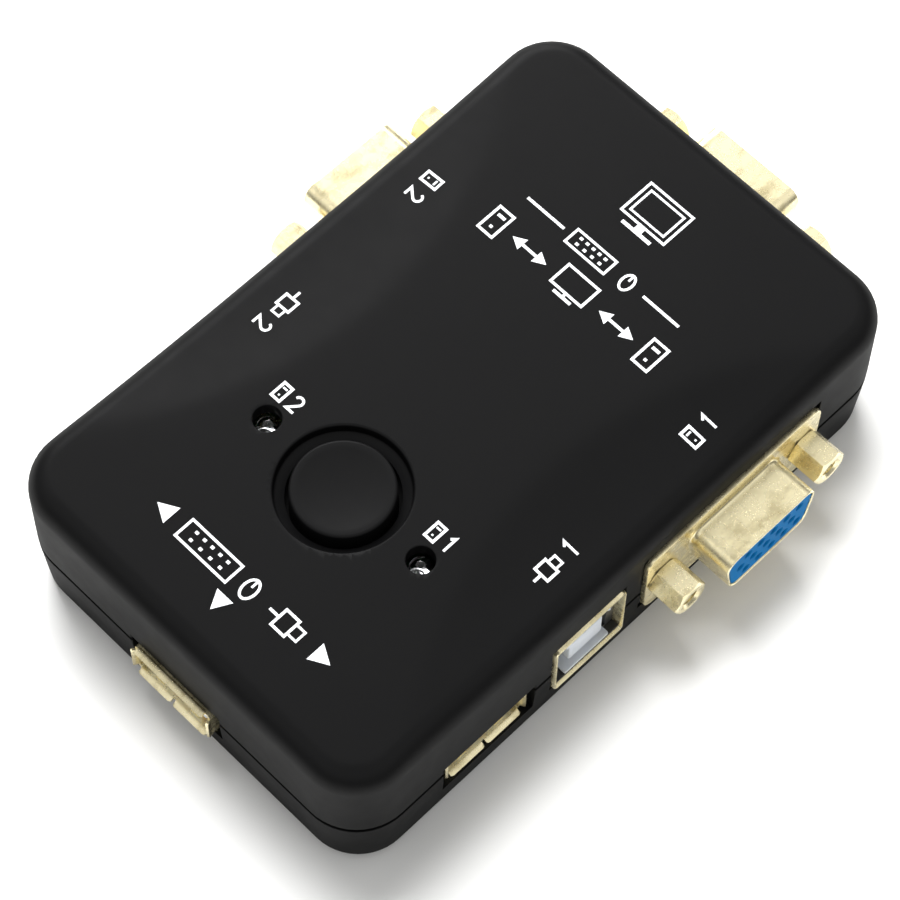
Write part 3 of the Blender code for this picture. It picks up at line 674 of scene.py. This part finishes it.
def make_lamp(number):
    """A 3 mm lamp: clear dome and rim, with its cup, post and two leads inside it."""
    low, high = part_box(f"led_{number}")
    x, y = (low.x + high.x) / 2, (low.y + high.y) / 2
    top = high.z
    radius, rim_radius = 1.5 * MM, 1.9 * MM
    rim_z = top - 5.2 * MM
    rim_top = rim_z + 1.0 * MM
    profile = [(0.0, top)]
    profile += [(radius * sine, top - radius * from_one) for sine, from_one in arc(10)]
    profile += [(radius, rim_top), (rim_radius, rim_top), (rim_radius, rim_z), (0.0, rim_z)]
    piece(f"led_{number}_lens", moved(revolved(profile, 40), x, y), "led_lens",
          replaces=[f"led_{number}"], sharp=50.0)
    cup_top = top - 2.1 * MM
    cup = revolved([(0.0, cup_top - 0.3 * MM), (0.25 * MM, cup_top - 0.3 * MM), (0.52 * MM, cup_top),
                    (0.6 * MM, cup_top), (0.45 * MM, cup_top - 0.6 * MM), (0.0, cup_top - 0.6 * MM)], 24)
    cup = moved(cup, 0.0, -0.35 * MM)
    parts = [cup]
    lead, foot = 0.25 * MM, 5.6 * MM
    for side, head in ((-1, cup_top - 0.5 * MM), (1, cup_top - 0.1 * MM)):
        near, wide = side * 0.2 * MM, side * 1.27 * MM
        post = side * 0.25 * MM
        parts += [
            soft_block((-lead, min(near, wide), rim_z + 0.6 * MM),
                       (lead, max(near, wide) + lead, rim_z + 1.1 * MM), 0.05 * MM),
            soft_block((-lead, post - lead, rim_top), (lead, post + lead, head), 0.05 * MM),
            soft_block((-lead, wide - lead, foot), (lead, wide + lead, rim_z + 0.7 * MM), 0.05 * MM)]
    piece(f"led_{number}_leads", moved(merged(*parts), x, y), FINISHES["spring_steel"])


# ---- sockets -------------------------------------------------------------------------------
def d_outline(width, height, corner):
    """The D of a VGA plug, wide side up, anticlockwise seen from the front, as (x, z) points."""
    lean = math.tan(math.radians(10.0))
    half_w, half_h = width / 2, height / 2
    corners = [(half_w, half_h), (-half_w, half_h),
               (-half_w + height * lean, -half_h), (half_w - height * lean, -half_h)]
    steps = 6
    points = []
    count = len(corners)
    for index in range(count):
        here = Vector(corners[index])
        before = (Vector(corners[index - 1]) - here).normalized()
        after = (Vector(corners[(index + 1) % count]) - here).normalized()
        half_angle = before.angle(after) / 2
        centre = here + (before + after).normalized() * corner / math.sin(half_angle)
        start = here + before * corner / math.tan(half_angle) - centre
        end = here + after * corner / math.tan(half_angle) - centre
        sweep = start.angle_signed(end)
        for step in range(steps + 1):
            angle = -sweep * step / steps
            rotated = Matrix.Rotation(angle, 2) @ start
            points.append(centre + rotated)
    return points


def d_row(width, height, corner, y):
    """A D-shaped ring at a distance from the wall, ordered so that a loft towards +Y faces out."""
    return [(p.x, y, p.y) for p in reversed(d_outline(width, height, corner))]


VGA_D = (16.3 * MM, 7.9 * MM)
VGA_SHEET = 0.4 * MM
VGA_FLANGE_FRONT = 0.5 * MM     # the flange's front face stands this far out of the wall
VGA_CORNER = 1.9 * MM
JACK_X = 12.5 * MM              # from the D's middle to each jackscrew
JACK_SHORT = 1.4 * MM           # how much less the hexagon stands out than the D


def vga_shell(port):
    """Flange plate and D-shaped shell, with a rounded root and a rolled front rim."""
    width, height = VGA_D
    front = port.proud
    plate_front = VGA_FLANGE_FRONT
    plate_back = plate_front - 0.8 * MM
    half_w, half_h = port.width / 2, port.height / 2
    plate = block((-half_w, plate_back, -half_h), (half_w, plate_front, half_h))
    uprights = [e for e in plate.edges if abs((e.verts[0].co - e.verts[1].co).normalized().y) > 0.9]
    bmesh.ops.bevel(plate, geom=uprights, offset=1.7 * MM, segments=5, profile=0.5, affect="EDGES",
                    offset_type="OFFSET")
    soften(plate, 0.16 * MM, 2, 60.0)
    root = 0.7 * MM
    grow = 0.55 * MM
    rows = [d_row(width + 2 * grow, height + 2 * grow, VGA_CORNER + grow, y)
            for y in (plate_back + 0.2 * MM, plate_front)]
    for sine, from_one in arc(5):
        spread = 2 * grow * (1 - sine)
        rows.append(d_row(width + spread, height + spread, VGA_CORNER + spread / 2,
                          plate_front + root * from_one))
    rolled = VGA_SHEET / 2
    rows.append(d_row(width, height, VGA_CORNER, front - rolled))
    for sine, from_one in arc(6, math.pi):
        inset = 2 * rolled * from_one
        rows.append(d_row(width - inset, height - inset, VGA_CORNER - inset / 2,
                          front - rolled + rolled * sine))
    inset = 2 * VGA_SHEET
    rows.append(d_row(width - inset, height - inset, VGA_CORNER - inset / 2, plate_back + 0.2 * MM))
    tube = loft(rows, closed_ends=False)
    shell = port.add("plate", plate, "plated_steel", ["shell"])
    throat = loft([d_row(width - 0.2 * MM, height - 0.2 * MM, VGA_CORNER, y * MM) for y in (-3.0, 3.0)])
    hole = [(0.0, 3.0 * MM), (1.75 * MM, 3.0 * MM), (1.75 * MM, -3.0 * MM), (0.0, -3.0 * MM)]
    holes = [moved(revolved(hole, 24, "Y"), side * JACK_X) for side in (-1, 1)]
    carve(shell, [placed(tool, port.place) for tool in (throat, *holes)])
    carve(shell, [placed(tube, port.place)], "UNION")
    finish_edges(shell, 40.0)


def vga_insulator(port):
    """The blue block in the D, with fifteen chamfered holes and a contact in each."""
    width, height = VGA_D
    inset = 2 * (VGA_SHEET + 0.12 * MM)
    face = port.proud - 0.12 * MM
    corner = VGA_CORNER - inset / 2
    edge = 0.2 * MM
    rows = [
        d_row(width - inset, height - inset, corner, -7.6 * MM),
        d_row(width - inset, height - inset, corner, face - edge),
        d_row(width - inset - edge * 0.6, height - inset - edge * 0.6, corner - edge * 0.3,
              face - edge * 0.3),
        d_row(width - inset - 2 * edge, height - inset - 2 * edge, corner - edge, face),
    ]
    body = port.add("socket_face", loft(rows), "vga_blue", ["insulator"])
    pitch, drop, bore = 2.29 * MM, 1.98 * MM, 0.56 * MM
    bottom, sleeve_face, sleeve_radius = face - 5.0 * MM, face - 0.9 * MM, 0.46 * MM
    hole = [(0.0, face + 0.2 * MM), (bore + 0.32 * MM, face + 0.2 * MM), (bore, face - 0.22 * MM),
            (bore, bottom), (0.0, bottom)]
    sleeve = [(0.0, face - 1.5 * MM), (0.28 * MM, face - 1.5 * MM), (0.34 * MM, sleeve_face),
              (sleeve_radius, sleeve_face), (sleeve_radius, bottom), (0.0, bottom)]
    cutters = []
    sleeves = []
    for row in (-1, 0, 1):
        for column in range(-2, 3):
            x = column * pitch + (pitch / 4 if row == 0 else -pitch / 4)
            z = row * drop
            cutters.append(moved(revolved(hole, 16, "Y"), x, 0.0, z))
            sleeves.append(moved(revolved(sleeve, 12, "Y"), x, 0.0, z))
    carve(body, [placed(merged(*cutters), port.place)])
    finish_edges(body)
    port.add("contacts", merged(*sleeves), CONTACT_GOLD)


def jackscrew(port, side, word):
    """A hexagonal standoff: chamfered at both ends, tapped from the front, threaded behind."""
    back = VGA_FLANGE_FRONT + 0.02 * MM
    front = port.proud - JACK_SHORT
    flat = 2.4 * MM
    tip = flat / math.cos(math.pi / 6)
    chamfer = 0.35 * MM
    angles = [math.pi / 6 + math.pi / 3 * corner for corner in range(6)]
    hexagon = facing_out(loft([[(tip * math.sin(angle), y, tip * math.cos(angle)) for angle in angles]
                               for y in (back, front)]))
    soften(hexagon, 0.06 * MM, 1, 40.0)
    body = port.add(f"standoff_{word}", moved(hexagon, side * JACK_X), "plated_steel",
                    [f"jackscrew_{word}"])
    cone = [(0.0, front + 0.01 * MM), (flat - chamfer * 0.4, front + 0.01 * MM),
            (tip + 0.1 * MM, front - chamfer), (tip + 0.1 * MM, back + 0.2 * MM),
            (flat - 0.1 * MM, back - 0.02 * MM), (0.0, back - 0.02 * MM)]
    turns, pitch, depth = 9, 0.42 * MM, 0.16 * MM
    bore = 1.28 * MM
    mouth, lead = bore + chamfer, front - chamfer
    thread = [(0.0, front + 0.5 * MM), (mouth, front + 0.5 * MM), (mouth, front)]
    for turn in range(turns):
        thread += [(bore, lead - turn * pitch), (bore + depth, lead - (turn + 0.5) * pitch)]
    thread += [(bore, lead - turns * pitch), (0.0, lead - turns * pitch)]
    stud_radius = 1.4 * MM
    stud = [(0.0, back + 0.2 * MM), (stud_radius, back + 0.2 * MM), (stud_radius, back - 4.6 * MM),
            (stud_radius - 0.3 * MM, back - 4.9 * MM), (0.0, back - 4.9 * MM)]
    for profile, segments, operation in ((cone, 48, "INTERSECT"), (thread, 32, "DIFFERENCE"),
                                         (stud, 24, "UNION")):
        tool = moved(revolved(profile, segments, "Y"), side * JACK_X)
        carve(body, [placed(tool, port.place)], operation)
    finish_edges(body, 25.0)


def make_vga(port):
    vga_shell(port)
    vga_insulator(port)
    jackscrew(port, -1, "a")
    jackscrew(port, 1, "b")


SHEET = 0.35 * MM
USB_A_INNER = (12.5 * MM, 5.12 * MM)


def rounded_rectangle(width, height, corner, y):
    """A rounded rectangle facing Y, ordered so that a loft towards +Y faces out."""
    steps = 5
    points = []
    for quarter, (sx, sz) in enumerate(((1, 1), (-1, 1), (-1, -1), (1, -1))):
        centre = Vector((sx * (width / 2 - corner), sz * (height / 2 - corner)))
        for step in range(steps + 1):
            angle = math.pi / 2 * (quarter + step / steps)
            points.append((centre.x + corner * math.cos(angle), y, centre.y + corner * math.sin(angle)))
    return list(reversed(points))


def sheet_tube(width, height, corner, front, back, thick):
    """A folded sheet-metal sleeve, open at the front, with a back wall."""
    rows = [rounded_rectangle(width, height, corner, back),
            rounded_rectangle(width, height, corner, front),
            rounded_rectangle(width - 2 * thick, height - 2 * thick, corner - thick * 0.6, front),
            rounded_rectangle(width - 2 * thick, height - 2 * thick, corner - thick * 0.6, back + thick)]
    return loft(rows)


def lip(length, thick, reach, rise, fall=0.0):
    """A flap of sheet metal along X, root at y = 0, that bends out (+Z) as it comes forward.

    With a fall it bends out at once and then rolls over forwards, by that much at its front edge.
    """
    steps = 8
    section = []
    for step in range(steps + 1):
        share = step / steps
        if fall:
            up = rise * math.sin(math.pi / 2 * min(share / 0.25, 1.0))
            section.append(Vector((reach * share, up - fall * max(share - 0.25, 0.0) / 0.75)))
        else:
            section.append(Vector((reach * share, rise * share ** 1.5)))
    skin = []
    for index, here in enumerate(section):
        along = section[min(index + 1, steps)] - section[max(index - 1, 0)]
        skin.append(here + Vector((-along.y, along.x)).normalized() * thick)
    section += reversed(skin)
    stations = [(inset - length / 2, share)
                for inset, share in ((0.0, 0.74), (0.12 * MM, 0.9), (0.35 * MM, 1.0))]
    stations += [(-x, share) for x, share in reversed(stations)]
    return facing_out(loft([[(x, point.x * share, point.y) for point in section]
                            for x, share in stations]))


def turned_about_y(data, quarter_turns):
    return placed(data, Matrix.Rotation(quarter_turns * math.pi / 2, 4, "Y"))


def make_usb_a(port):
    """A type A socket: sleeve, four curled lips (the lower one split), springs, tongue and contacts."""
    front = port.proud
    inner_w, inner_h = USB_A_INNER
    width, height = inner_w + 2 * SHEET, inner_h + 2 * SHEET
    curl, rise = 0.8 * MM, 0.3 * MM
    mouth = front - curl
    back = front - 13.8 * MM
    sleeve = sheet_tube(width, height, 0.6 * MM, mouth, back, SHEET)
    upper = moved(lip(width - 1.4 * MM, SHEET, curl, 0.38 * MM, 0.14 * MM), 0.0, mouth - 0.05 * MM,
                  inner_h / 2)
    parts = [sleeve, upper]
    split = 0.45 * MM
    half_lip = (width - 1.4 * MM - split) / 2
    for side in (-1, 1):
        part = turned_about_y(lip(half_lip, SHEET, curl, rise), 2)
        parts.append(moved(part, side * (half_lip + split) / 2, mouth - 0.05 * MM, -inner_h / 2))
        flap = turned_about_y(lip(height - 1.5 * MM, SHEET, curl, rise), side)
        parts.append(moved(flap, side * inner_w / 2, mouth - 0.05 * MM))
    port.add("sleeve", merged(*parts), "plated_steel", ["shell"], sharp=30.0)
    springs = []
    half = 0.75 * MM
    for level in (-1, 1):
        for side in (-1, 1):
            x = side * 3.1 * MM
            rows = []
            for y, dip in ((-1.2, 0.06), (-2.4, 0.16), (-4.2, 0.42), (-5.4, 0.46), (-6.4, 0.2)):
                z = level * (inner_h / 2 - dip * MM)
                within, without = z - level * 0.15 * MM, z + level * 0.05 * MM
                rows.append([(end, front + y * MM, height) for end, height in
                             ((x - half, within), (x + half, within), (x + half, without),
                              (x - half, without))])
            springs.append(facing_out(loft(rows)))
    port.add("springs", merged(*springs), "plated_steel", sharp=60.0)
    tongue_top = inner_h / 2 - 0.72 * MM
    tongue_low = tongue_top - 1.84 * MM
    tongue = soft_block((-5.55 * MM, back + 1.0 * MM, tongue_low), (5.55 * MM, front - 1.1 * MM, tongue_top),
                        0.2 * MM)
    half_w, half_h = inner_w / 2 - 0.05 * MM, inner_h / 2 - 0.05 * MM
    rear = soft_block((-half_w, back + SHEET, -half_h), (half_w, back + 4.3 * MM, half_h), 0.1 * MM)
    port.add("core", merged(tongue, rear), "white_plastic", ["tongue"])
    contacts = []
    for x in (-3.5, -1.0, 1.0, 3.5):
        contacts.append(soft_block(((x - 0.5) * MM, back + 4.0 * MM, tongue_low - 0.12 * MM),
                                   ((x + 0.5) * MM, front - 1.9 * MM, tongue_low + 0.1 * MM), 0.05 * MM))
    port.add("contacts", merged(*contacts), CONTACT_GOLD)


def make_usb_b(port):
    """A type B socket: a bevelled metal frame round a white block with a keyed hole and a tongue."""
    front = port.proud
    width, height = port.width, port.height
    back = front - 16.0 * MM
    thick, bevel = 0.32 * MM, 0.10 * MM
    corner = 0.6 * MM
    inner_w, inner_h = width - 2 * thick, height - 2 * thick
    rows = [
        rounded_rectangle(width, height, corner, back),
        rounded_rectangle(width, height, corner, front - 0.12 * MM),
        rounded_rectangle(width - 0.16 * MM, height - 0.16 * MM, corner, front),
        rounded_rectangle(inner_w + 2 * bevel, inner_h, corner * 0.6, front),
        rounded_rectangle(inner_w, inner_h - 2 * bevel, corner * 0.5, front - 0.3 * MM),
        rounded_rectangle(inner_w, inner_h - 2 * bevel, corner * 0.5, back + thick),
    ]
    port.add("frame", loft(rows), "plated_steel", ["shell"])
    hole_w, hole_h, key = 8.45 * MM / 2, 7.78 * MM / 2, 1.6 * MM
    section = [(hole_w, -hole_h), (hole_w, hole_h - key), (hole_w - key, hole_h),
               (-hole_w + key, hole_h), (-hole_w, hole_h - key), (-hole_w, -hole_h)]
    half_w, top, foot = 3.8 * MM, inner_h / 2 - bevel - 0.1 * MM, -inner_h / 2 + bevel + 0.05 * MM
    rear, near, low = back + thick + 0.1 * MM, front - 0.4 * MM, foot + 0.4 * MM
    reach = inner_w / 2 - 0.05 * MM
    blocks = (
        ("core", "white_plastic", [soft_block((-half_w, rear, low), (half_w, near, top), 0.15 * MM)],
         ["insulator"]),
        # Painted shade: black blocks beside and below the white block, standing in for the socket's white
        # walls where they lie in shadow.
        ("painted_shade_filler", "component_black",
         [soft_block((half_w + 0.05 * MM, rear, low), (reach, near - 1.1 * MM, top), 0.1 * MM),
          soft_block((-reach, rear, low), (-half_w - 0.05 * MM, near - 1.1 * MM, top), 0.1 * MM),
          soft_block((-reach, rear, foot), (reach, near, low - 0.05 * MM), 0.1 * MM)], []),
    )
    for word, slot, shapes, stands_for in blocks:
        body = port.add(word, merged(*shapes), slot, stands_for)
        rows = [[(x * scale, y, z * scale) for x, z in reversed(section)]
                for y, scale in ((front - 9.5 * MM, 1.0), (near - 0.25 * MM, 1.0), (near + 0.25 * MM, 1.03))]
        carve(body, [placed(facing_out(loft(rows)), port.place)])
        finish_edges(body)
    tongue_w, tongue_foot, tongue_top = 2.9 * MM, -2.3 * MM, 1.7 * MM
    tongue = soft_block((-tongue_w, front - 10.0 * MM, tongue_foot),
                        (tongue_w, front - 0.8 * MM, tongue_top), 0.3 * MM)
    port.add("tongue", tongue, "white_plastic")
    contacts = []
    for z in (tongue_foot, tongue_top):
        for x in (-1.25 * MM, 1.25 * MM):
            contacts.append(soft_block((x - 0.45 * MM, front - 9.5 * MM, z - 0.1 * MM),
                                       (x + 0.45 * MM, front - 1.8 * MM, z + 0.1 * MM), 0.05 * MM))
    port.add("contacts", merged(*contacts), CONTACT_GOLD)


# ---- screws under the case -----------------------------------------------------------------
def make_case_screw(number):
    """A recessed cross-head screw: low domed head below, tapering shank above."""
    low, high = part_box(f"case_screw_{number}")
    middle = (low + high) / 2
    head_low, head_top = low.z, low.z + 1.4 * MM
    radius, shank = 2.35 * MM, 1.15 * MM
    profile = [(0.0, high.z), (0.35 * MM, high.z)]
    turns = 14
    start, end = high.z - 1.5 * MM, head_top + 0.3 * MM
    for turn in range(turns):
        z = start + (end - start) * turn / turns
        profile += [(shank, z), (shank - 0.22 * MM, z + (end - start) / turns / 2)]
    profile += [(shank - 0.2 * MM, head_top), (radius, head_top), (radius, head_top - 0.5 * MM),
                (radius * 0.93, head_low + 0.4 * MM), (radius * 0.7, head_low + 0.1 * MM),
                (radius * 0.35, head_low), (0.0, head_low)]
    screw = piece(f"case_screw_{number}_body", moved(revolved(profile, 32), middle.x, middle.y),
                  "screw_steel", replaces=[f"case_screw_{number}"])
    cross = []
    for turn in (0.0, math.pi / 2):
        wide, narrow = 1.45 * MM, 0.75 * MM
        rows = []
        for z, scale in ((head_low - 0.2 * MM, 1.0), (head_low + 1.0 * MM, 0.45)):
            rows.append([(x * scale, y * (0.6 + 0.4 * scale), z) for x, y in
                         ((wide, narrow / 2), (-wide, narrow / 2), (-wide, -narrow / 2),
                          (wide, -narrow / 2))])
        slot = placed(facing_out(loft(rows)), Matrix.Rotation(turn, 4, "Z"))
        cross.append(moved(slot, middle.x, middle.y))
    carve(screw, cross)
    finish_edges(screw, 30.0)


# ---- printing on the lid -------------------------------------------------------------------
class Print:
    """White line drawings laid on the lid's face, each shape a thin closed body."""

    def __init__(self, name, origin, turn=0.0):
        self.name = name
        self.place = Matrix.Translation((*origin, 0.0)) @ Matrix.Rotation(turn, 4, "Z")
        self.parts = []

    def lay(self, point, lift):
        spot = self.place @ Vector((*point, 0.0))
        return (spot.x, spot.y, lid_height(spot.x, spot.y) + lift)

    def solid(self, pairs, closed=False):
        """A thin body over (left, right) point pairs, as a strip or as a closed ring."""
        rows = [[self.lay(point, lift) for point, lift in
                 ((left, INK_HEIGHT), (right, INK_HEIGHT), (right, -INK_SINK), (left, -INK_SINK))]
                for left, right in pairs]
        self.parts.append(loft(rows, closed_ends=not closed))

    def line(self, points, width=STROKE, closed=False):
        """A stroke along points, with mitred bends."""
        points = [Vector(p) for p in points]
        count = len(points)
        pairs = []
        for index, here in enumerate(points):
            before = points[index - 1] if closed or index else here
            after = points[(index + 1) % count] if closed or index < count - 1 else here
            come = (here - before).normalized() if here != before else None
            leave = (after - here).normalized() if after != here else None
            come, leave = come or leave, leave or come
            along = (come + leave).normalized()
            across = Vector((-along.y, along.x))
            stretch = 1.0 / max(across.dot(Vector((-leave.y, leave.x))), 0.4)
            pairs.append((here + across * width / 2 * stretch, here - across * width / 2 * stretch))
        self.solid(pairs, closed)

    def box(self, x0, y0, x1, y1, width=STROKE):
        self.line([(x0, y0), (x1, y0), (x1, y1), (x0, y1)], width, closed=True)

    def bar(self, x0, y0, x1, y1):
        """A filled rectangle."""
        self.solid([((x0, y1), (x0, y0)), ((x1, y1), (x1, y0))])

    def oval(self, x, y, half_x, half_y):
        steps = 20
        angles = [2 * math.pi * step / steps for step in range(steps)]
        self.line([(x + half_x * math.cos(angle), y + half_y * math.sin(angle)) for angle in angles],
                  closed=True)

    def triangle(self, x, y, size, heading):
        """A filled arrowhead that points along a heading in degrees."""
        tip = Vector((math.cos(math.radians(heading)), math.sin(math.radians(heading))))
        side = Vector((-tip.y, tip.x))
        middle = Vector((x, y))
        nose = middle + tip * size * 0.5
        tail = middle - tip * size * 0.5
        blunt = 0.02 * MM
        self.solid([(tail + side * size * 0.56, tail - side * size * 0.56),
                    (nose + side * blunt, nose - side * blunt)])

    def make(self):
        piece(self.name, facing_out(merged(*self.parts)), INK, sharp=30.0)


def digit(ink, number, x, y, height):
    """The digit 1 or 2."""
    half = height / 2
    if number == 1:
        ink.line([(x - 0.22 * height, y + half * 0.55), (x, y + half), (x, y - half)])
    else:
        radius = height * 0.27
        points = []
        for step in range(9):
            angle = math.radians(165.0 - 205.0 * step / 8)
            points.append((x + radius * math.cos(angle), y + half - radius + radius * math.sin(angle)))
        points += [(x - radius, y - half), (x + radius * 1.05, y - half)]
        ink.line(points)


def tower_sign(ink, x, y, height):
    """A computer's upright case: outline, drive slot and switch."""
    half_w, half_h = height * 0.30, height / 2
    ink.box(x - half_w, y - half_h, x + half_w, y + half_h, BOLD_STROKE)
    ink.bar(x - half_w * 0.5, y + half_h * 0.38, x + half_w * 0.5, y + half_h * 0.6)
    ink.bar(x - half_w * 0.18, y - half_h * 0.55, x + half_w * 0.18, y - half_h * 0.35)


def screen_sign(ink, x, y, width, height):
    """A plain display on a foot."""
    ink.box(x - width / 2, y - height * 0.28, x + width / 2, y + height / 2, BOLD_STROKE)
    ink.bar(x - 0.2 * MM, y - height * 0.42, x + 0.2 * MM, y - height * 0.28)
    ink.bar(x - width * 0.28, y - height / 2, x + width * 0.28, y - height * 0.40)


def keyboard_sign(ink, x, y, width, height):
    ink.box(x - width / 2, y - height / 2, x + width / 2, y + height / 2)
    for row, count in ((0.2, 5), (-0.2, 4)):
        for key in range(count):
            middle = x + width * 0.78 * ((key + 0.5) / count - 0.5)
            level = y + height * row
            ink.bar(middle - 0.24 * MM, level - 0.2 * MM, middle + 0.24 * MM, level + 0.2 * MM)


def mouse_sign(ink, x, y, height):
    ink.oval(x, y, height * 0.32, height / 2)
    ink.line([(x, y + height * 0.42), (x, y + height * 0.1)], FINE_STROKE)


def plug_sign(ink, x, y, length):
    """A cable plug lying along X, its blade to the right."""
    ink.box(x - length * 0.2, y - length * 0.25, x + length * 0.22, y + length * 0.25, BOLD_STROKE)
    ink.box(x + length * 0.22, y - length * 0.15, x + length * 0.5, y + length * 0.15, FINE_STROKE)
    ink.line([(x - length * 0.5, y), (x - length * 0.2, y)], BOLD_STROKE)


def double_arrow(ink, x, y, length):
    ink.line([(x - length * 0.3, y), (x + length * 0.3, y)], 0.4 * MM)
    ink.triangle(x + length * 0.36, y, length * 0.3, 0.0)
    ink.triangle(x - length * 0.36, y, length * 0.3, 180.0)


def make_printing():
    row_y = -36.3 * MM
    arrows = Print("print_arrows", (0.0, 0.0))
    arrows.triangle(-12.9 * MM, row_y, 2.5 * MM, 180.0)
    arrows.triangle(14.1 * MM, row_y, 2.5 * MM, 0.0)
    arrows.triangle(0.4 * MM, -40.1 * MM, 2.4 * MM, 270.0)
    arrows.make()

    console = Print("print_console_signs", (0.4 * MM, row_y))
    keyboard_sign(console, -5.6 * MM, 0.0, 8.6 * MM, 2.9 * MM)
    mouse_sign(console, 1.4 * MM, 0.0, 2.9 * MM)
    plug_sign(console, 7.4 * MM, 0.0, 5.2 * MM)
    console.make()

    for number, x in ((1, 13.0 * MM), (2, -13.3 * MM)):
        label = Print(f"print_lamp_{number}", (x, -15.65 * MM))
        tower_sign(label, -1.2 * MM, 0.0, 2.3 * MM)
        digit(label, number, 1.2 * MM, 0.0, 2.2 * MM)
        label.make()

    quarter = math.pi / 2
    for number, x, turn in ((1, 24.2 * MM, quarter), (2, -23.3 * MM, -quarter)):
        label = Print(f"print_usb_{number}", (x, -8.0 * MM), turn)
        plug_sign(label, -1.6 * MM, 0.0, 4.2 * MM)
        digit(label, number, 2.6 * MM, 0.0, 2.3 * MM)
        label.make()
        label = Print(f"print_computer_{number}", (x, 16.9 * MM), turn)
        tower_sign(label, -1.5 * MM, 0.0, 2.5 * MM)
        digit(label, number, 1.5 * MM, 0.0, 2.3 * MM)
        label.make()

    title = Print("print_switch_signs", (0.0, 19.6 * MM))
    tower_sign(title, -13.2 * MM, 0.0, 4.0 * MM)
    double_arrow(title, -7.4 * MM, 0.0, 5.6 * MM)
    screen_sign(title, 0.0, 0.0, 5.2 * MM, 4.2 * MM)
    double_arrow(title, 7.4 * MM, 0.0, 5.6 * MM)
    tower_sign(title, 13.2 * MM, 0.0, 4.0 * MM)
    title.make()

    line = Print("print_input_signs", (0.0, 24.9 * MM))
    line.bar(-12.9 * MM, -0.2 * MM, -6.6 * MM, 0.2 * MM)
    keyboard_sign(line, -2.0 * MM, 0.0, 6.6 * MM, 2.4 * MM)
    mouse_sign(line, 4.2 * MM, 0.0, 2.5 * MM)
    line.bar(6.9 * MM, -0.2 * MM, 12.9 * MM, 0.2 * MM)
    line.make()

    icon = Print("print_monitor_sign", (0.0, 34.2 * MM))
    icon.box(-3.6 * MM, -2.2 * MM, 3.6 * MM, 3.2 * MM)
    icon.box(-2.8 * MM, -1.4 * MM, 2.8 * MM, 2.4 * MM, FINE_STROKE)
    icon.bar(-0.6 * MM, -3.1 * MM, 0.6 * MM, -2.35 * MM)
    icon.bar(-2.4 * MM, -3.6 * MM, 2.4 * MM, -3.1 * MM)
    icon.make()


# ---- CAD nodes that stay -------------------------------------------------------------------
def dress_cad_nodes():
    """Give every CAD node that still shows the finish that its record slot names."""
    for row in frame["record"]["subparts"]:
        node = frame["nodes"][row["node"]]
        node.data.materials.clear()
        node.data.materials.append(FINISHES[row["material_slot"]])
        node.data.shade_smooth()
        node.data.set_sharp_from_angle(angle=math.radians(35.0))


# ---- studio --------------------------------------------------------------------------------
def make_floor():
    data = bmesh.new()
    bmesh.ops.create_grid(data, x_segments=2, y_segments=2, size=1.6)
    mesh = bpy.data.meshes.new("floor")
    data.to_mesh(mesh)
    data.free()
    floor = bpy.data.objects.new("floor", mesh)
    bpy.context.scene.collection.objects.link(floor)
    floor.location.z = -0.02 * MM
    finish = Finish("floor_white", (0.86, 0.86, 0.85), 0.9)
    mesh.materials.append(finish.material)


def area_light(name, azimuth, elevation, distance, size, power, mirrored=True):
    """A square softbox that looks at the object. Azimuth 0 is the +Y side and 90 the +X side."""
    light = bpy.data.lights.new(name, "AREA")
    light.shape = "SQUARE"
    light.size = size
    light.energy = power
    lamp = bpy.data.objects.new(name, light)
    a, e = math.radians(azimuth), math.radians(elevation)
    spot = Vector((math.sin(a) * math.cos(e), math.cos(a) * math.cos(e), math.sin(e))) * distance
    lamp.location = spot
    lamp.rotation_euler = (-spot).to_track_quat("-Z", "Y").to_euler()
    lamp.visible_glossy = mirrored
    bpy.context.scene.collection.objects.link(lamp)


def make_studio():
    """A sky that mirrors see dark near the horizon and dimmer overhead, and two softboxes."""
    world = bpy.data.worlds.new("studio")
    world.use_nodes = True
    background = world.node_tree.nodes["Background"]
    background.inputs["Color"].default_value = (1.0, 1.0, 0.99, 1.0)
    nodes, links = world.node_tree.nodes, world.node_tree.links
    direction = nodes.new("ShaderNodeTexCoord")
    split = nodes.new("ShaderNodeSeparateXYZ")
    links.new(direction.outputs["Generated"], split.inputs["Vector"])
    sky = nodes.new("ShaderNodeMath")
    sky.operation = "MULTIPLY"
    horizon, overhead = (0.30, 0.75, 0.10, 1.0), (0.82, 0.94, 0.95, 0.50)
    for entry, numbers in enumerate((horizon, overhead)):
        map_range(world, split.outputs["Z"], numbers, sky.inputs[entry])
    ray = nodes.new("ShaderNodeLightPath")
    level = nodes.new("ShaderNodeMix")
    level.inputs["A"].default_value = 0.66
    links.new(ray.outputs["Is Glossy Ray"], level.inputs["Factor"])
    links.new(sky.outputs["Value"], level.inputs["B"])
    links.new(level.outputs["Result"], background.inputs["Strength"])
    bpy.context.scene.world = world
    area_light("key_softbox", -62.0, 69.0, 0.7, 0.31, 6.6, mirrored=False)
    area_light("sheen_panel", -55.0, 30.0, 0.8, 0.5, 3.6)
    bpy.context.scene.view_settings.view_transform = "Standard"


def make_camera():
    camera_data = bpy.data.cameras.new("camera")
    camera_data.lens = 132.82
    camera_data.sensor_width = 36.0
    camera_data.clip_start = 0.01
    camera = bpy.data.objects.new("camera", camera_data)
    camera.location = (131.23 * MM, -134.95 * MM, 378.06 * MM)
    camera.rotation_euler = (math.radians(26.942), math.radians(-0.365), math.radians(45.216))
    bpy.context.scene.collection.objects.link(camera)
    bpy.context.scene.camera = camera


make_camera()
dress_cad_nodes()
make_case()
make_button()
make_spring()
for lamp_number in (1, 2):
    make_lamp(lamp_number)
for each_port in PORTS:
    {"vga": make_vga, "usb_a": make_usb_a, "usb_b": make_usb_b}[each_port.kind](each_port)
for screw_number in SCREW_NUMBERS:
    make_case_screw(screw_number)
make_printing()
make_floor()
make_studio()
